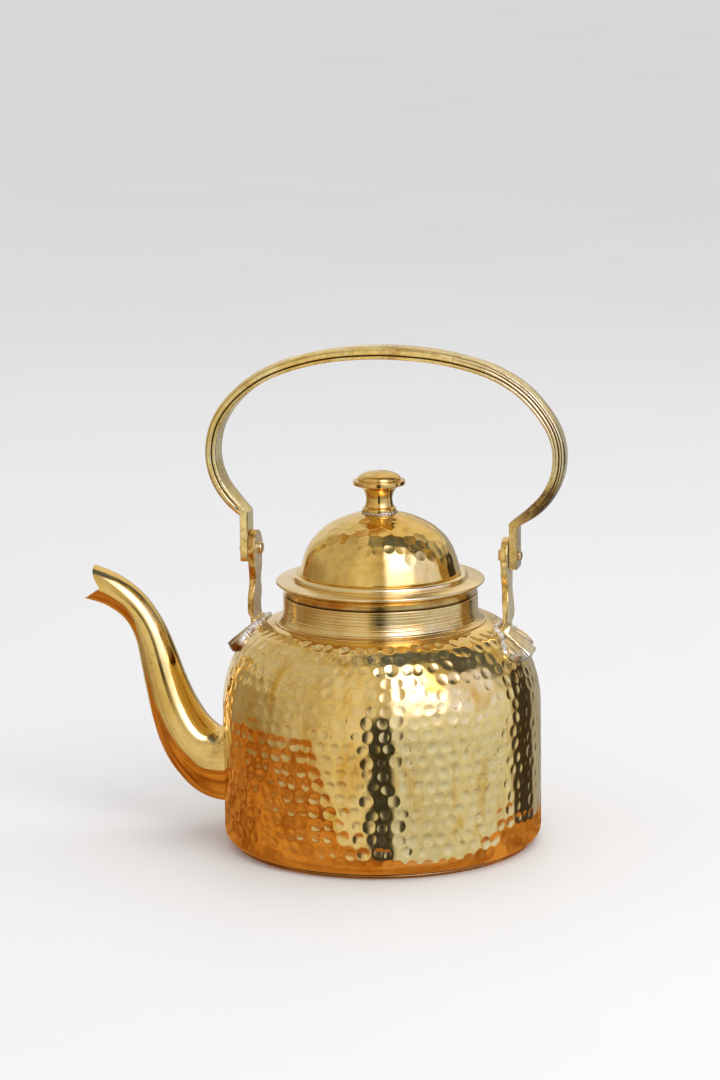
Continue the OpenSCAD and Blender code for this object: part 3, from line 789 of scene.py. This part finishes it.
# ---------------------------------------------------------------- materials
class Mat:
    def __init__(self, name):
        self.m = bpy.data.materials.new(name)
        self.m.use_nodes = True
        self.t = self.m.node_tree
        self.t.nodes.clear()
        out = self.add("ShaderNodeOutputMaterial")
        self.b = self.add("ShaderNodeBsdfPrincipled")
        self.t.links.new(self.b.outputs[0], out.inputs[0])
        self.b.inputs["Metallic"].default_value = 1.0
        self.pos = self.add("ShaderNodeTexCoord").outputs["Object"]

    def add(self, kind, **sets):
        n = self.t.nodes.new(kind)
        for k, v in sets.items():
            setattr(n, k, v)
        return n

    def put(self, node, **values):
        for k, v in values.items():
            s = node.inputs[k.replace("_", " ")]
            if isinstance(v, bpy.types.NodeSocket):
                self.t.links.new(v, s)
            else:
                s.default_value = v
        return node

    def noise(self, scale, detail=3.0, rough=0.55, warp=0.0, vector=None):
        n = self.put(self.add("ShaderNodeTexNoise"), Vector=vector or self.pos, Scale=scale, Detail=detail, Roughness=rough, Distortion=warp)
        return n.outputs["Fac"]

    def math(self, op, a, b=None, clamp=False):
        n = self.add("ShaderNodeMath", operation=op, use_clamp=clamp)
        for i, v in enumerate((a, b)):
            if v is None:
                continue
            if isinstance(v, bpy.types.NodeSocket):
                self.t.links.new(v, n.inputs[i])
            else:
                n.inputs[i].default_value = v
        return n.outputs[0]

    def span(self, value, a, b, c, d):
        n = self.put(self.add("ShaderNodeMapRange", clamp=True), Value=value)
        for k, v in (("From Min", a), ("From Max", b), ("To Min", c), ("To Max", d)):
            n.inputs[k].default_value = v
        return n.outputs[0]

    def ramp(self, value, *stops):
        n = self.add("ShaderNodeValToRGB")
        e = n.color_ramp.elements
        while len(e) < len(stops):
            e.new(0.5)
        for el, (p, c) in zip(e, stops):
            el.position, el.color = p, (*c, 1.0)
        self.t.links.new(value, n.inputs[0])
        return n.outputs[0]

    def mix(self, fac, a, b, how="MIX"):
        n = self.add("ShaderNodeMix", data_type="RGBA", blend_type=how)
        for i, v in ((0, fac), (6, a), (7, b)):
            if isinstance(v, bpy.types.NodeSocket):
                self.t.links.new(v, n.inputs[i])
            else:
                n.inputs[i].default_value = v if i == 0 else (*v, 1.0)
        return n.outputs[2]

    def bump(self, height, strength, distance, under=None):
        n = self.put(self.add("ShaderNodeBump"), Height=height, Strength=strength, Distance=distance)
        if under is not None:
            self.t.links.new(under, n.inputs["Normal"])
        return n.outputs[0]

    def round_axis(self, along, around, up):
        """Coordinates that follow the lathe: slow round the axis, fast across it."""
        x = self.put(self.add("ShaderNodeSeparateXYZ"), Vector=self.pos)
        r = self.math("SQRT", self.math("ADD", self.math("MULTIPLY", x.outputs[0], x.outputs[0]), self.math("MULTIPLY", x.outputs[1], x.outputs[1])))
        c = self.add("ShaderNodeCombineXYZ")
        n = self.put(self.add("ShaderNodeVectorMath", operation="SCALE"), Vector=self.pos, Scale=around)
        y = self.put(self.add("ShaderNodeSeparateXYZ"), Vector=n.outputs[0])
        self.t.links.new(self.math("ADD", y.outputs[0], self.math("MULTIPLY", r, along)), c.inputs[0])
        self.t.links.new(y.outputs[1], c.inputs[1])
        self.t.links.new(self.math("MULTIPLY", x.outputs[2], up), c.inputs[2])
        return c.outputs[0]

    def finish(self, colour, rough, normal):
        self.t.links.new(colour, self.b.inputs["Base Color"])
        self.t.links.new(rough, self.b.inputs["Roughness"])
        self.t.links.new(normal, self.b.inputs["Normal"])
        return self.m


def brass(name, tones, rough, spread, lathe=0.0, grain=0.25, specks=0.5, scuff=0.3, marks=None, stain=0.0, brushed=0.10):
    m = Mat(name)
    slow = m.noise(42.0, 4.0, 0.6, 0.4)
    mid = m.noise(260.0, 3.0, 0.6)
    fine = m.noise(1900.0, 2.0, 0.6)
    mottle = m.math("ADD", m.math("MULTIPLY", slow, 0.7), m.math("MULTIPLY", mid, 0.3))
    colour = m.ramp(mottle, (0.30, tones[0]), (0.5, tones[1]), (0.70, tones[2]))
    dent = None
    if marks:
        # the floor of each hammer mark is paler and a little duller than the polished ridges
        dent = m.put(m.add("ShaderNodeAttribute", attribute_name="dent")).outputs["Fac"]
        colour = m.mix(dent, colour, m.ramp(mottle, (0.30, marks[0]), (0.5, marks[1]), (0.70, marks[2])))
    if stain:
        # yellow streaks and brown rubs of old polish
        tall = m.put(m.add("ShaderNodeMapping"), Vector=m.pos, Scale=(1.0, 1.0, 0.42)).outputs[0]
        streak = m.span(m.noise(58.0, 4.0, 0.62, 0.9, tall), 0.50, 0.66, 0.0, stain)
        colour = m.mix(streak, colour, (0.72, 0.43, 0.075))
        rub = m.math("MULTIPLY", m.span(m.noise(210.0, 4.0, 0.7, 1.2), 0.58, 0.66, 0.0, 0.7), m.span(m.noise(33.0, 2.0), 0.48, 0.62, 0.0, stain))
        colour = m.mix(rub, colour, (0.42, 0.22, 0.06))
    # tarnish freckles, in groups
    freckle = m.math("MULTIPLY", m.span(m.noise(780.0, 2.0, 0.5), 0.66, 0.72, 0.0, 1.0), m.span(m.noise(60.0, 2.0), 0.5, 0.68, 0.0, specks))
    colour = m.mix(freckle, colour, (0.30, 0.17, 0.05))
    hair = m.round_axis(900.0, 9.0, 1500.0)
    lines = m.noise(1.0, 3.0, 0.65, 0.0, hair)
    worn = m.span(m.noise(75.0, 3.0, 0.6, 0.6), 0.45, 0.72, 0.0, scuff)
    rough_v = m.math("ADD", m.span(m.math("ADD", m.math("MULTIPLY", mid, 0.5), m.math("MULTIPLY", slow, 0.5)), 0.32, 0.68, rough - spread, rough + spread),
                     m.math("MULTIPLY", worn, 0.12))
    if dent is not None:
        rough_v = m.math("ADD", rough_v, m.math("MULTIPLY", dent, 0.05))
    rough_v = m.math("ADD", rough_v, m.math("MULTIPLY", freckle, 0.2), True)
    normal = m.bump(fine, 0.05 * grain, 0.0004)
    if lathe:
        normal = m.bump(lines, lathe, 0.0003, normal)
        colour = m.mix(m.span(lines, 0.42, 0.68, 0.0, 0.55), colour, tones[0], "MULTIPLY")
    elif brushed:
        normal = m.bump(m.math("MULTIPLY", lines, worn), brushed, 0.0003, normal)
    return m.finish(colour, rough_v, normal)


def flange_brass(name):
    """Turned ring: bright top, painted shade and warm reflection darkening the cove under the rim, and a painted shadow
    line where it meets the neck.
    """
    m = Mat(name)
    slow, mid, fine = m.noise(42.0, 4.0, 0.6, 0.4), m.noise(260.0, 3.0, 0.6), m.noise(1900.0, 2.0, 0.6)
    mottle = m.math("ADD", m.math("MULTIPLY", slow, 0.7), m.math("MULTIPLY", mid, 0.3))
    colour = m.ramp(mottle, (0.30, (0.80, 0.60, 0.28)), (0.5, (0.91, 0.75, 0.42)), (0.70, (0.96, 0.84, 0.54)))
    lines = m.noise(1.0, 3.0, 0.65, 0.0, m.round_axis(900.0, 9.0, 1500.0))
    colour = m.mix(m.span(lines, 0.45, 0.75, 0.0, 0.30), colour, PALE[0], "MULTIPLY")
    up = m.put(m.add("ShaderNodeSeparateXYZ"), Vector=m.pos).outputs[2]
    # painted shade and warm reflection: the cove under the rim is coloured a darker orange-brown
    painted_cove_shade = m.span(up, (LID_Z + 5.05) * MM, (LID_Z + 4.6) * MM, 0.0, 0.85)
    colour = m.mix(painted_cove_shade, colour, m.ramp(mottle, (0.36, (0.48, 0.25, 0.05)), (0.5, (0.70, 0.43, 0.10)), (0.64, (0.84, 0.60, 0.20))))
    # painted shadow: a near-black line at the foot of the flange, where it sits on the neck
    colour = m.mix(m.span(up, (LID_Z + 1.1) * MM, (LID_Z + 0.55) * MM, 0.0, 0.9), colour, (0.11, 0.06, 0.02))
    rough = m.span(mottle, 0.32, 0.68, 0.09, 0.19)
    return m.finish(colour, rough, m.bump(lines, 0.30, 0.0003, m.bump(fine, 0.02, 0.0004)))


def ear_brass(name, browned):
    """Satin cast faces and polished edges; browned: darker edges and a burnt end of the foot."""
    m = Mat(name)
    way = m.put(m.add("ShaderNodeSeparateXYZ"), Vector=m.add("ShaderNodeTexCoord").outputs["Normal"])
    face = m.span(m.math("ABSOLUTE", way.outputs[0]), 0.74, 0.93, 0.0, 1.0)
    slow, mid, fine = m.noise(95.0, 3.0, 0.6, 0.5), m.noise(420.0, 3.0, 0.6), m.noise(2200.0, 3.0, 0.65)
    mottle = m.math("ADD", m.math("MULTIPLY", slow, 0.65), m.math("MULTIPLY", mid, 0.35))
    satin = m.ramp(mottle, (0.32, (0.56, 0.43, 0.24)), (0.5, (0.70, 0.575, 0.36)), (0.68, (0.79, 0.68, 0.47)))
    if browned:
        edge = m.ramp(mottle, (0.36, (0.26, 0.13, 0.04)), (0.47, (0.54, 0.33, 0.10)), (0.58, (0.84, 0.60, 0.22)))
    else:
        edge = m.ramp(mottle, (0.34, (0.50, 0.29, 0.07)), (0.45, (0.82, 0.57, 0.17)), (0.60, (0.92, 0.74, 0.36)))
    colour = m.mix(face, edge, satin)
    up = m.put(m.add("ShaderNodeSeparateXYZ"), Vector=m.pos).outputs[2]
    foot = m.span(m.math("ADD", up, m.span(mid, 0.3, 0.7, -0.0012, 0.0012)), (SEAT_Z - 0.5) * MM, (SEAT_Z - 13.5) * MM, 0.0, 1.0)
    if browned:
        burnt = m.ramp(foot, (0.0, (0.66, 0.50, 0.27)), (0.30, (0.66, 0.60, 0.50)), (0.52, (0.56, 0.46, 0.33)), (0.70, (0.24, 0.11, 0.04)), (1.0, (0.13, 0.06, 0.025)))
    else:
        burnt = m.ramp(foot, (0.0, (0.84, 0.64, 0.28)), (0.55, (0.86, 0.68, 0.34)), (0.80, (0.80, 0.70, 0.50)), (1.0, (0.62, 0.58, 0.50)))
    colour = m.mix(m.span(foot, 0.04, 0.16, 0.0, 0.85), colour, burnt)
    pits = m.span(m.noise(1300.0, 2.0), 0.62, 0.70, 0.0, 0.6)
    colour = m.mix(pits, colour, (0.20, 0.11, 0.04))
    rough = m.math("ADD", m.span(face, 0.0, 1.0, 0.12, 0.32), m.span(fine, 0.3, 0.7, -0.03, 0.07), True)
    # a dull film of oxide lies on the flat faces and the foot
    film = m.math("MAXIMUM", face, m.span(foot, 0.04, 0.2, 0.0, 0.2 if browned else 0.35))
    m.t.links.new(m.span(film, 0.0, 1.0, 1.0, 0.58), m.b.inputs["Metallic"])
    return m.finish(colour, rough, m.bump(fine, 0.14, 0.0004, m.bump(mid, 0.18, 0.0006)))


def bail_brass(name):
    """Reeded casting: polished ribs, tarnish left in the grooves, crawling marks of the mould."""
    m = Mat(name)
    slow, mid, fine = m.noise(60.0, 3.0, 0.6, 0.5), m.noise(360.0, 3.0, 0.6), m.noise(2100.0, 3.0, 0.65)
    mottle = m.math("ADD", m.math("MULTIPLY", slow, 0.6), m.math("MULTIPLY", mid, 0.4))
    colour = m.ramp(mottle, (0.34, (0.71, 0.48, 0.14)), (0.5, (0.90, 0.71, 0.28)), (0.66, (0.98, 0.86, 0.48)))
    # painted highlight: paler high on the far half, where the light falls on it; painted shade: browner low near its
    # far end
    at = m.put(m.add("ShaderNodeSeparateXYZ"), Vector=m.pos)
    east, up = at.outputs[0], at.outputs[2]
    colour = m.mix(m.math("MULTIPLY", m.span(east, 0.015, 0.055, 0.0, 0.35), m.span(up, (PIVOT_Z + 30) * MM, (PIVOT_Z + 46) * MM, 0.0, 1.0)), colour, (0.98, 0.91, 0.62))
    # painted shade: browner on the lower part of the far limb
    colour = m.mix(m.math("MULTIPLY", m.span(east, 0.055, 0.062, 0.0, 0.6), m.span(up, (PIVOT_Z + 36) * MM, (PIVOT_Z + 24) * MM, 0.0, 1.0)), colour, (0.50, 0.30, 0.09))
    # painted shade: very dark brown in the bend above the far end, in blotches
    bend = m.math("MULTIPLY", m.span(up, (PIVOT_Z + 15) * MM, (PIVOT_Z + 20) * MM, 0.0, 1.0), m.span(up, (PIVOT_Z + 34) * MM, (PIVOT_Z + 28) * MM, 0.0, 1.0))
    bend = m.math("MULTIPLY", bend, m.math("MULTIPLY", m.span(east, 0.056, 0.062, 0.0, 1.0), m.span(mid, 0.36, 0.54, 0.45, 0.97)))
    colour = m.mix(bend, colour, (0.15, 0.085, 0.03))
    groove = m.span(m.put(m.add("ShaderNodeAttribute", attribute_name="dent")).outputs["Fac"], 0.18, 0.70, 0.0, 0.96)
    colour = m.mix(groove, colour, (0.10, 0.055, 0.018))
    crawl = m.math("ABSOLUTE", m.math("SUBTRACT", m.noise(520.0, 2.0, 0.5, 1.6), 0.5))
    crawl = m.math("MULTIPLY", m.span(crawl, 0.0, 0.030, 1.0, 0.0), m.span(m.noise(45.0, 2.0), 0.46, 0.60, 0.0, 0.75))
    colour = m.mix(crawl, colour, (0.40, 0.22, 0.06))
    pits = m.span(m.noise(1250.0, 2.0), 0.64, 0.71, 0.0, 0.6)
    colour = m.mix(pits, colour, (0.26, 0.15, 0.05))
    m.t.links.new(m.span(groove, 0.0, 0.6, 0.96, 1.0), m.b.inputs["Metallic"])
    rough = m.math("ADD", m.span(mottle, 0.32, 0.68, 0.06, 0.12), m.math("MULTIPLY", groove, 0.25), True)
    return m.finish(colour, rough, m.bump(fine, 0.05, 0.0004, m.bump(crawl, 0.35, -0.0003)))


def solder(name, grey=1.0):
    m = Mat(name)
    slow, fine = m.noise(420.0, 3.0, 0.6, 0.5), m.noise(2600.0, 3.0, 0.6)
    colour = m.ramp(slow, (0.30, (0.55, 0.48, 0.37)), (0.44, (0.80, 0.78, 0.73)), (0.60, (0.93, 0.92, 0.90)))
    pits = m.span(m.noise(1500.0, 2.0), 0.66, 0.72, 0.0, 0.5)
    colour = m.mix(pits, colour, (0.16, 0.12, 0.08))
    if grey < 1.0:
        colour = m.mix(1.0 - grey, colour, (0.38, 0.29, 0.15))
    rough = m.span(fine, 0.3, 0.7, 0.14, 0.30)
    m.t.links.new(m.span(slow, 0.40, 0.60, 0.85, 0.55 if grey == 1.0 else 0.85), m.b.inputs["Metallic"])
    return m.finish(colour, rough, m.bump(fine, 0.25, 0.0004, m.bump(slow, 0.5, 0.0008)))


GOLD = ((0.70, 0.45, 0.12), (0.83, 0.60, 0.21), (0.89, 0.69, 0.30))
RIDGE = ((0.74, 0.49, 0.14), (0.85, 0.62, 0.22), (0.90, 0.70, 0.30))
DENT = ((0.74, 0.52, 0.18), (0.84, 0.645, 0.27), (0.89, 0.73, 0.37))
PALE = ((0.70, 0.49, 0.18), (0.84, 0.65, 0.29), (0.91, 0.76, 0.42))
TIN = ((0.50, 0.46, 0.36), (0.62, 0.58, 0.48), (0.70, 0.67, 0.58))

hammered = brass("hammered_brass_mat", RIDGE, 0.08, 0.03, grain=0.3, specks=1.0, scuff=0.5, marks=DENT, stain=1.0)
DOME = ((0.68, 0.42, 0.09), (0.82, 0.575, 0.18), (0.88, 0.67, 0.26))
domed = brass("dome_brass_mat", DOME, 0.075, 0.025, grain=0.2, specks=0.5, scuff=0.3, marks=DOME, stain=0.35)
turned = brass("turned_brass_mat", PALE, 0.12, 0.05, lathe=0.40, specks=0.5, stain=0.4)
flanged = flange_brass("flange_brass_mat")
knobbed = brass("knob_brass_mat", GOLD, 0.09, 0.03, lathe=0.12, specks=0.5, stain=0.3)
cast = brass("cast_brass_mat", GOLD, 0.085, 0.03, grain=0.5, specks=0.6, scuff=0.4, stain=0.4, brushed=0.0)
bailed = bail_brass("bail_brass_mat")
eared_front, eared_rear = ear_brass("ear_front_mat", True), ear_brass("ear_rear_mat", False)
riveted = brass("rivet_brass_mat", ((0.62, 0.40, 0.15), (0.78, 0.57, 0.26), (0.88, 0.71, 0.40)), 0.20, 0.06, grain=1.0, specks=0.9)
# painted shade: the base disc is coloured dark brown, standing in for the shadow along the foot of the pot
base_shade_brass = brass("base_painted_shade_mat", ((0.30, 0.17, 0.06), (0.45, 0.28, 0.10), (0.60, 0.40, 0.17)), 0.24, 0.06, lathe=0.3, specks=0.9)
inside = brass("plug_brass_mat", PALE, 0.26, 0.06, lathe=0.30, specks=0.7)
leaded = solder("solder_mat")
dulled = solder("knob_solder_mat", 0.35)
tinned = brass("inner_tin_mat", TIN, 0.34, 0.08, grain=1.0, specks=0.8, scuff=0.8)

# ---------------------------------------------------------------- the pieces
pieces = []


def add(ob, body, slot, mat, *nodes):
    ob.data.materials.clear()
    ob.data.materials.append(mat)
    placed(ob, body, slot, *nodes)
    pieces.append(ob)
    return ob


wall, cap = make_body()
add(wall, "pot", "hammered_brass", hammered, "body_shell")
add(cap, "pot", "hammered_brass", hammered, "shoulder_shell")
add(make_base(), "pot", "turned_brass", base_shade_brass, "base_disc")
add(make_neck(), "pot", "turned_brass", turned, "neck_collar")
add(make_spout(), "pot", "cast_brass", cast, "spout")
add(make_ear("ear_front_cast", "front_ear"), "pot", "ear_brass", eared_front, "front_ear")
add(make_ear("ear_rear_cast", "rear_ear"), "pot", "ear_brass", eared_rear, "rear_ear")
add(make_solder("solder_front", -1), "pot", "ear_brass", leaded)
add(make_solder("solder_rear", 1), "pot", "ear_brass", leaded)
add(make_rivet("rivet_front_peened", -1), "pot", "rivet_brass", riveted, "front_rivet")
add(make_rivet("rivet_rear_peened", 1), "pot", "rivet_brass", riveted, "rear_rivet")
add(make_handle(), "handle", "cast_brass", bailed, "handle_bail")
add(make_dome(), "lid", "hammered_brass", domed, "lid_dome")
add(make_flange(), "lid", "turned_brass", flanged, "lid_flange")
add(make_plug(), "lid", "turned_brass", inside, "lid_collar")
add(make_knob(), "lid", "turned_brass", knobbed, "knob")
add(make_knob_solder(), "lid", "turned_brass", dulled)
add(make_washer(), "lid", "rivet_brass", riveted, "knob_washer")

# the inside of the pot is tinned
for part in (wall, cap):
    part.data.materials.append(tinned)
    co = np.empty(len(part.data.polygons) * 3)
    no = np.empty(len(part.data.polygons) * 3)
    part.data.polygons.foreach_get("center", co)
    part.data.polygons.foreach_get("normal", no)
    co, no = co.reshape(-1, 3) / MM, no.reshape(-1, 3)
    radial = np.hypot(co[:, 0], co[:, 1])
    facing = (no[:, :2] * co[:, :2]).sum(1) / np.maximum(radial, 1e-6) + 0.4 * no[:, 2] * (co[:, 2] - 50) / 50
    is_in = (facing < 0) & (co[:, 2] > BASE_T + 0.3) & (co[:, 2] < SEAT_Z - 0.3)
    part.data.polygons.foreach_set("material_index", is_in.astype(np.int32))
    part.data.update()

# ---------------------------------------------------------------- floor, light and camera
AZ = math.radians(12.2627)
RIGHT = Vector((math.cos(AZ), math.sin(AZ), 0.0))
FRONT = Vector((math.sin(AZ), -math.cos(AZ), 0.0))  # from the pot towards the camera

floor = new_object("floor", [(-9000, -9000, 0), (9000, -9000, 0), (9000, 9000, 0), (-9000, 9000, 0)], [(0, 1, 2, 3)])
fm = Mat("floor_mat")
fm.b.inputs["Metallic"].default_value = 0.0
fm.finish(fm.ramp(fm.noise(3.0, 2.0), (0.3, (0.80, 0.80, 0.805)), (0.7, (0.82, 0.82, 0.825))),
          fm.span(fm.noise(40.0), 0.3, 0.7, 0.55, 0.62), fm.bump(fm.noise(900.0), 0.02, 0.0002))
floor.data.materials.append(fm.m)
floor.visible_glossy = False

# a warm reflector lying beside the pot, out of the camera's sight: it only shows as an amber reflection low on the metal
plan = [(129, -40), (18, 235), (-320, 110), (-242, -222)]
card = new_object("reflector", [tuple(RIGHT * x - FRONT * y + Vector((0, 0, -1.0))) for x, y in plan], [(0, 1, 2, 3)])
cm = bpy.data.materials.new("reflector_mat")
cm.use_nodes = True
cm.node_tree.nodes.clear()
glow = cm.node_tree.nodes.new("ShaderNodeEmission")
grain_at, stretch, grain_n, tint = (cm.node_tree.nodes.new(k) for k in ("ShaderNodeTexCoord", "ShaderNodeMapping", "ShaderNodeTexNoise", "ShaderNodeValToRGB"))
stretch.inputs["Scale"].default_value = (9.0, 40.0, 1.0)
stretch.inputs["Rotation"].default_value = (0.0, 0.0, 0.9)
grain_n.inputs["Scale"].default_value, grain_n.inputs["Detail"].default_value = 1.0, 4.0
for el, (at, c) in zip(tint.color_ramp.elements, ((0.36, (0.27, 0.08, 0.012, 1.0)), (0.64, (0.72, 0.33, 0.085, 1.0)))):
    el.position, el.color = at, c
cm.node_tree.links.new(grain_at.outputs["Object"], stretch.inputs["Vector"])
cm.node_tree.links.new(stretch.outputs[0], grain_n.inputs["Vector"])
cm.node_tree.links.new(grain_n.outputs[0], tint.inputs[0])
cm.node_tree.links.new(tint.outputs[0], glow.inputs[0])
cm.node_tree.links.new(glow.outputs[0], cm.node_tree.nodes.new("ShaderNodeOutputMaterial").inputs[0])
card.data.materials.append(cm)
card.visible_camera = card.visible_diffuse = card.visible_shadow = card.visible_transmission = False


def softbox(name, turn, rise, distance, w, h, bright, colour, at=(0, 0, 0.08)):
    """A square studio light: turn is the angle to the right of the camera, rise the height angle."""
    t, e = math.radians(turn), math.radians(rise)
    d = (FRONT * math.cos(t) + RIGHT * math.sin(t)) * math.cos(e) + Vector((0, 0, 1)) * math.sin(e)
    light = bpy.data.lights.new(name, "AREA")
    light.shape, light.size, light.size_y = "RECTANGLE", w, h
    light.energy = bright * math.pi * w * h
    light.color = colour
    ob = bpy.data.objects.new(name, light)
    ob.matrix_world = Matrix.Translation(Vector(at) + d * distance) @ d.to_track_quat("Z", "Y").to_matrix().to_4x4()
    ob.visible_camera = ob.visible_glossy = False
    scene.collection.objects.link(ob)


# the light that models the floor and shadow; the metal takes its reflections from the surround below
softbox("key", 36, 42, 1.5, 0.75, 0.60, 5.0, (1.0, 0.98, 0.95))
softbox("over", 150, 66, 1.6, 1.3, 1.0, 1.2, (1.0, 1.0, 1.0))

world = bpy.data.worlds.new("studio")
scene.world = world
world.use_nodes = True
wt = world.node_tree
wt.nodes.clear()


def wn(kind, **sets):
    n = wt.nodes.new(kind)
    for k, v in sets.items():
        setattr(n, k, v)
    return n


def dot(v):
    n = wn("ShaderNodeVectorMath", operation="DOT_PRODUCT")
    wt.links.new(look.outputs["Generated"], n.inputs[0])
    n.inputs[1].default_value = v
    return n.outputs["Value"]


def wmath(op, a, b):
    n = wn("ShaderNodeMath", operation=op)
    for i, v in enumerate((a, b)):
        if isinstance(v, bpy.types.NodeSocket):
            wt.links.new(v, n.inputs[i])
        else:
            n.inputs[i].default_value = v
    return n.outputs[0]


look = wn("ShaderNodeTexCoord")
turn = wmath("ADD", wmath("DIVIDE", wmath("ARCTAN2", dot(RIGHT), dot(FRONT)), 2 * math.pi), 0.5)
rise = wmath("ADD", wmath("DIVIDE", wmath("ARCSINE", dot((0, 0, 1)), 0.0), math.pi), 0.5)
deg = lambda a: (a + 180) / 360


def edge(value, low, high, rising=True):
    n = wn("ShaderNodeMapRange", clamp=True, interpolation_type="SMOOTHSTEP")
    n.inputs["From Min"].default_value, n.inputs["From Max"].default_value = low, high
    n.inputs["To Min"].default_value, n.inputs["To Max"].default_value = (0.0, 1.0) if rising else (1.0, 0.0)
    wt.links.new(value, n.inputs["Value"])
    return n.outputs[0]


# what the metal sees: a cream surround with soft-edged studio panels in it, each from one bearing to
# another (0 is towards the camera, + is right) and from one height angle to another, with its tone
CREAM = (0.60, 0.54, 0.45)
PANELS = [
    # from, to, softness; low, high, softness; tone
    (-150, -80, 20, -90, 12, 8, (0.38, 0.31, 0.22)),      # dim far left
    (-42, -4, 16, -24, 62, 8, (0.80, 0.73, 0.61)),        # cream card left of the camera
    (-250, -145, 12, -90, 72, 8, (0.78, 0.74, 0.70)),     # pale cards behind
    (136, 250, 6, 14, 72, 8, (0.90, 0.81, 0.68)),
    (138, 172, 4, -90, 12, 6, (0.40, 0.40, 0.40)),
    (-110, -8, 8, -90, -26, 12, (0.42, 0.36, 0.29)),      # low left, with a bright card under it
    (-58, 10, 14, -90, -41, 5, (1.42, 1.34, 1.21)),
    (8, 106, 3, -90, 12, 8, (0.44, 0.46, 0.50)),          # pale card right of the camera, brighter upwards
    (8, 106, 3, -21, 13, 14, (0.77, 0.83, 1.00)),
    (8, 64, 6, 5, 30, 12, (1.12, 1.17, 1.65)),
    (50, 94, 8, 4, 40, 8, (0.86, 0.90, 1.42)),            # side light
    (11, 50, 7, 20, 63, 16, (3.3, 3.4, 5.4)),             # tall key panel
    (72, 124, 5, 36, 70, 4, (0.11, 0.12, 0.15)),          # dark screen beside the key
    (97, 113, 4, 18, 38, 4, (0.15, 0.17, 0.21)),
    (110, 138, 3, -42, 13, 5, (0.05, 0.042, 0.036)),
    (78, 152, 8, -90, -37, 6, (0.13, 0.095, 0.065)),
    (-250, 250, 5, 76, 110, 4, (0.34, 0.31, 0.27)),       # overhead
    (-4, 148, 6, 67, 110, 4, (0.14, 0.155, 0.19)),
    (-10.5, 7, 2, -42, 8, 7, (0.045, 0.045, 0.042)),      # dark strip at the camera
]
seen = None
for left, right, soft, low, high, blur, tone in PANELS:
    across = wmath("MULTIPLY", edge(turn, deg(left - soft), deg(left + soft)), edge(turn, deg(right - soft), deg(right + soft), False))
    tall = wmath("MULTIPLY", edge(rise, 0.5 + (low - blur) / 180, 0.5 + (low + blur) / 180), edge(rise, 0.5 + (high - blur) / 180, 0.5 + (high + blur) / 180, False))
    both = wn("ShaderNodeMix", data_type="RGBA")
    wt.links.new(wmath("MULTIPLY", across, tall), both.inputs[0])
    if seen is None:
        both.inputs[6].default_value = (*CREAM, 1.0)
    else:
        wt.links.new(seen, both.inputs[6])
    both.inputs[7].default_value = (*tone, 1.0)
    seen = both.outputs[2]
uneven = wn("ShaderNodeTexNoise")
wt.links.new(look.outputs["Generated"], uneven.inputs["Vector"])
uneven.inputs["Scale"].default_value, uneven.inputs["Detail"].default_value = 7.0, 1.5
# softly blotched, and strongly so overhead
swing = wn("ShaderNodeMapRange", clamp=True)
for k, v in (("From Min", 0.5 + 58 / 180), ("From Max", 0.5 + 74 / 180), ("To Min", 0.55), ("To Max", 3.0)):
    swing.inputs[k].default_value = v
wt.links.new(rise, swing.inputs["Value"])
gain = wmath("MAXIMUM", wmath("ADD", wmath("MULTIPLY", wmath("SUBTRACT", uneven.outputs["Fac"], 0.5), swing.outputs[0]), 1.0), 0.2)
shaded = wn("ShaderNodeVectorMath", operation="SCALE")
wt.links.new(seen, shaded.inputs[0])
wt.links.new(gain, shaded.inputs["Scale"])
seen = shaded.outputs[0]
bg_seen, bg_plain, path, pick, wout = (wn(k) for k in (
    "ShaderNodeBackground", "ShaderNodeBackground", "ShaderNodeLightPath", "ShaderNodeMixShader", "ShaderNodeOutputWorld"))
wt.links.new(seen, bg_seen.inputs[0])
bg_seen.inputs[1].default_value = 1.0
bg_plain.inputs[0].default_value = (0.84, 0.84, 0.85, 1.0)
wt.links.new(path.outputs["Is Glossy Ray"], pick.inputs[0])
wt.links.new(bg_plain.outputs[0], pick.inputs[1])
wt.links.new(bg_seen.outputs[0], pick.inputs[2])
wt.links.new(pick.outputs[0], wout.inputs[0])

# camera: placed and turned as in the photograph, lens for a 720 x 1080 frame
PITCH, YAW, ROLL = math.radians(11.2889), math.radians(-0.3254), math.radians(-0.7684)
eye = Vector((0.0, -1.526903, 0.439969))
fwd = Vector((math.sin(YAW) * math.cos(PITCH), math.cos(YAW) * math.cos(PITCH), -math.sin(PITCH)))
rgt = Vector((math.cos(YAW), -math.sin(YAW), 0.0))
upw = Vector((math.sin(YAW) * math.sin(PITCH), math.cos(YAW) * math.sin(PITCH), math.cos(PITCH)))
r2 = rgt * math.cos(ROLL) + upw * math.sin(ROLL)
u2 = -rgt * math.sin(ROLL) + upw * math.cos(ROLL)
spin = Matrix.Rotation(AZ, 3, "Z")
camera = bpy.data.cameras.new("camera")
camera.sensor_fit, camera.sensor_width, camera.lens = "AUTO", 36.0, 3541.44 / 1080 * 36.0
camera.clip_end = 100.0
cam = bpy.data.objects.new("camera", camera)
cols = [spin @ v for v in (r2, u2, -fwd)]
cam.matrix_world = Matrix.Translation(spin @ eye) @ Matrix((cols[0], cols[1], cols[2])).transposed().to_4x4()
scene.collection.objects.link(cam)
scene.camera = cam
scene.view_settings.view_transform = "Standard"

bpy.context.view_layer.update()
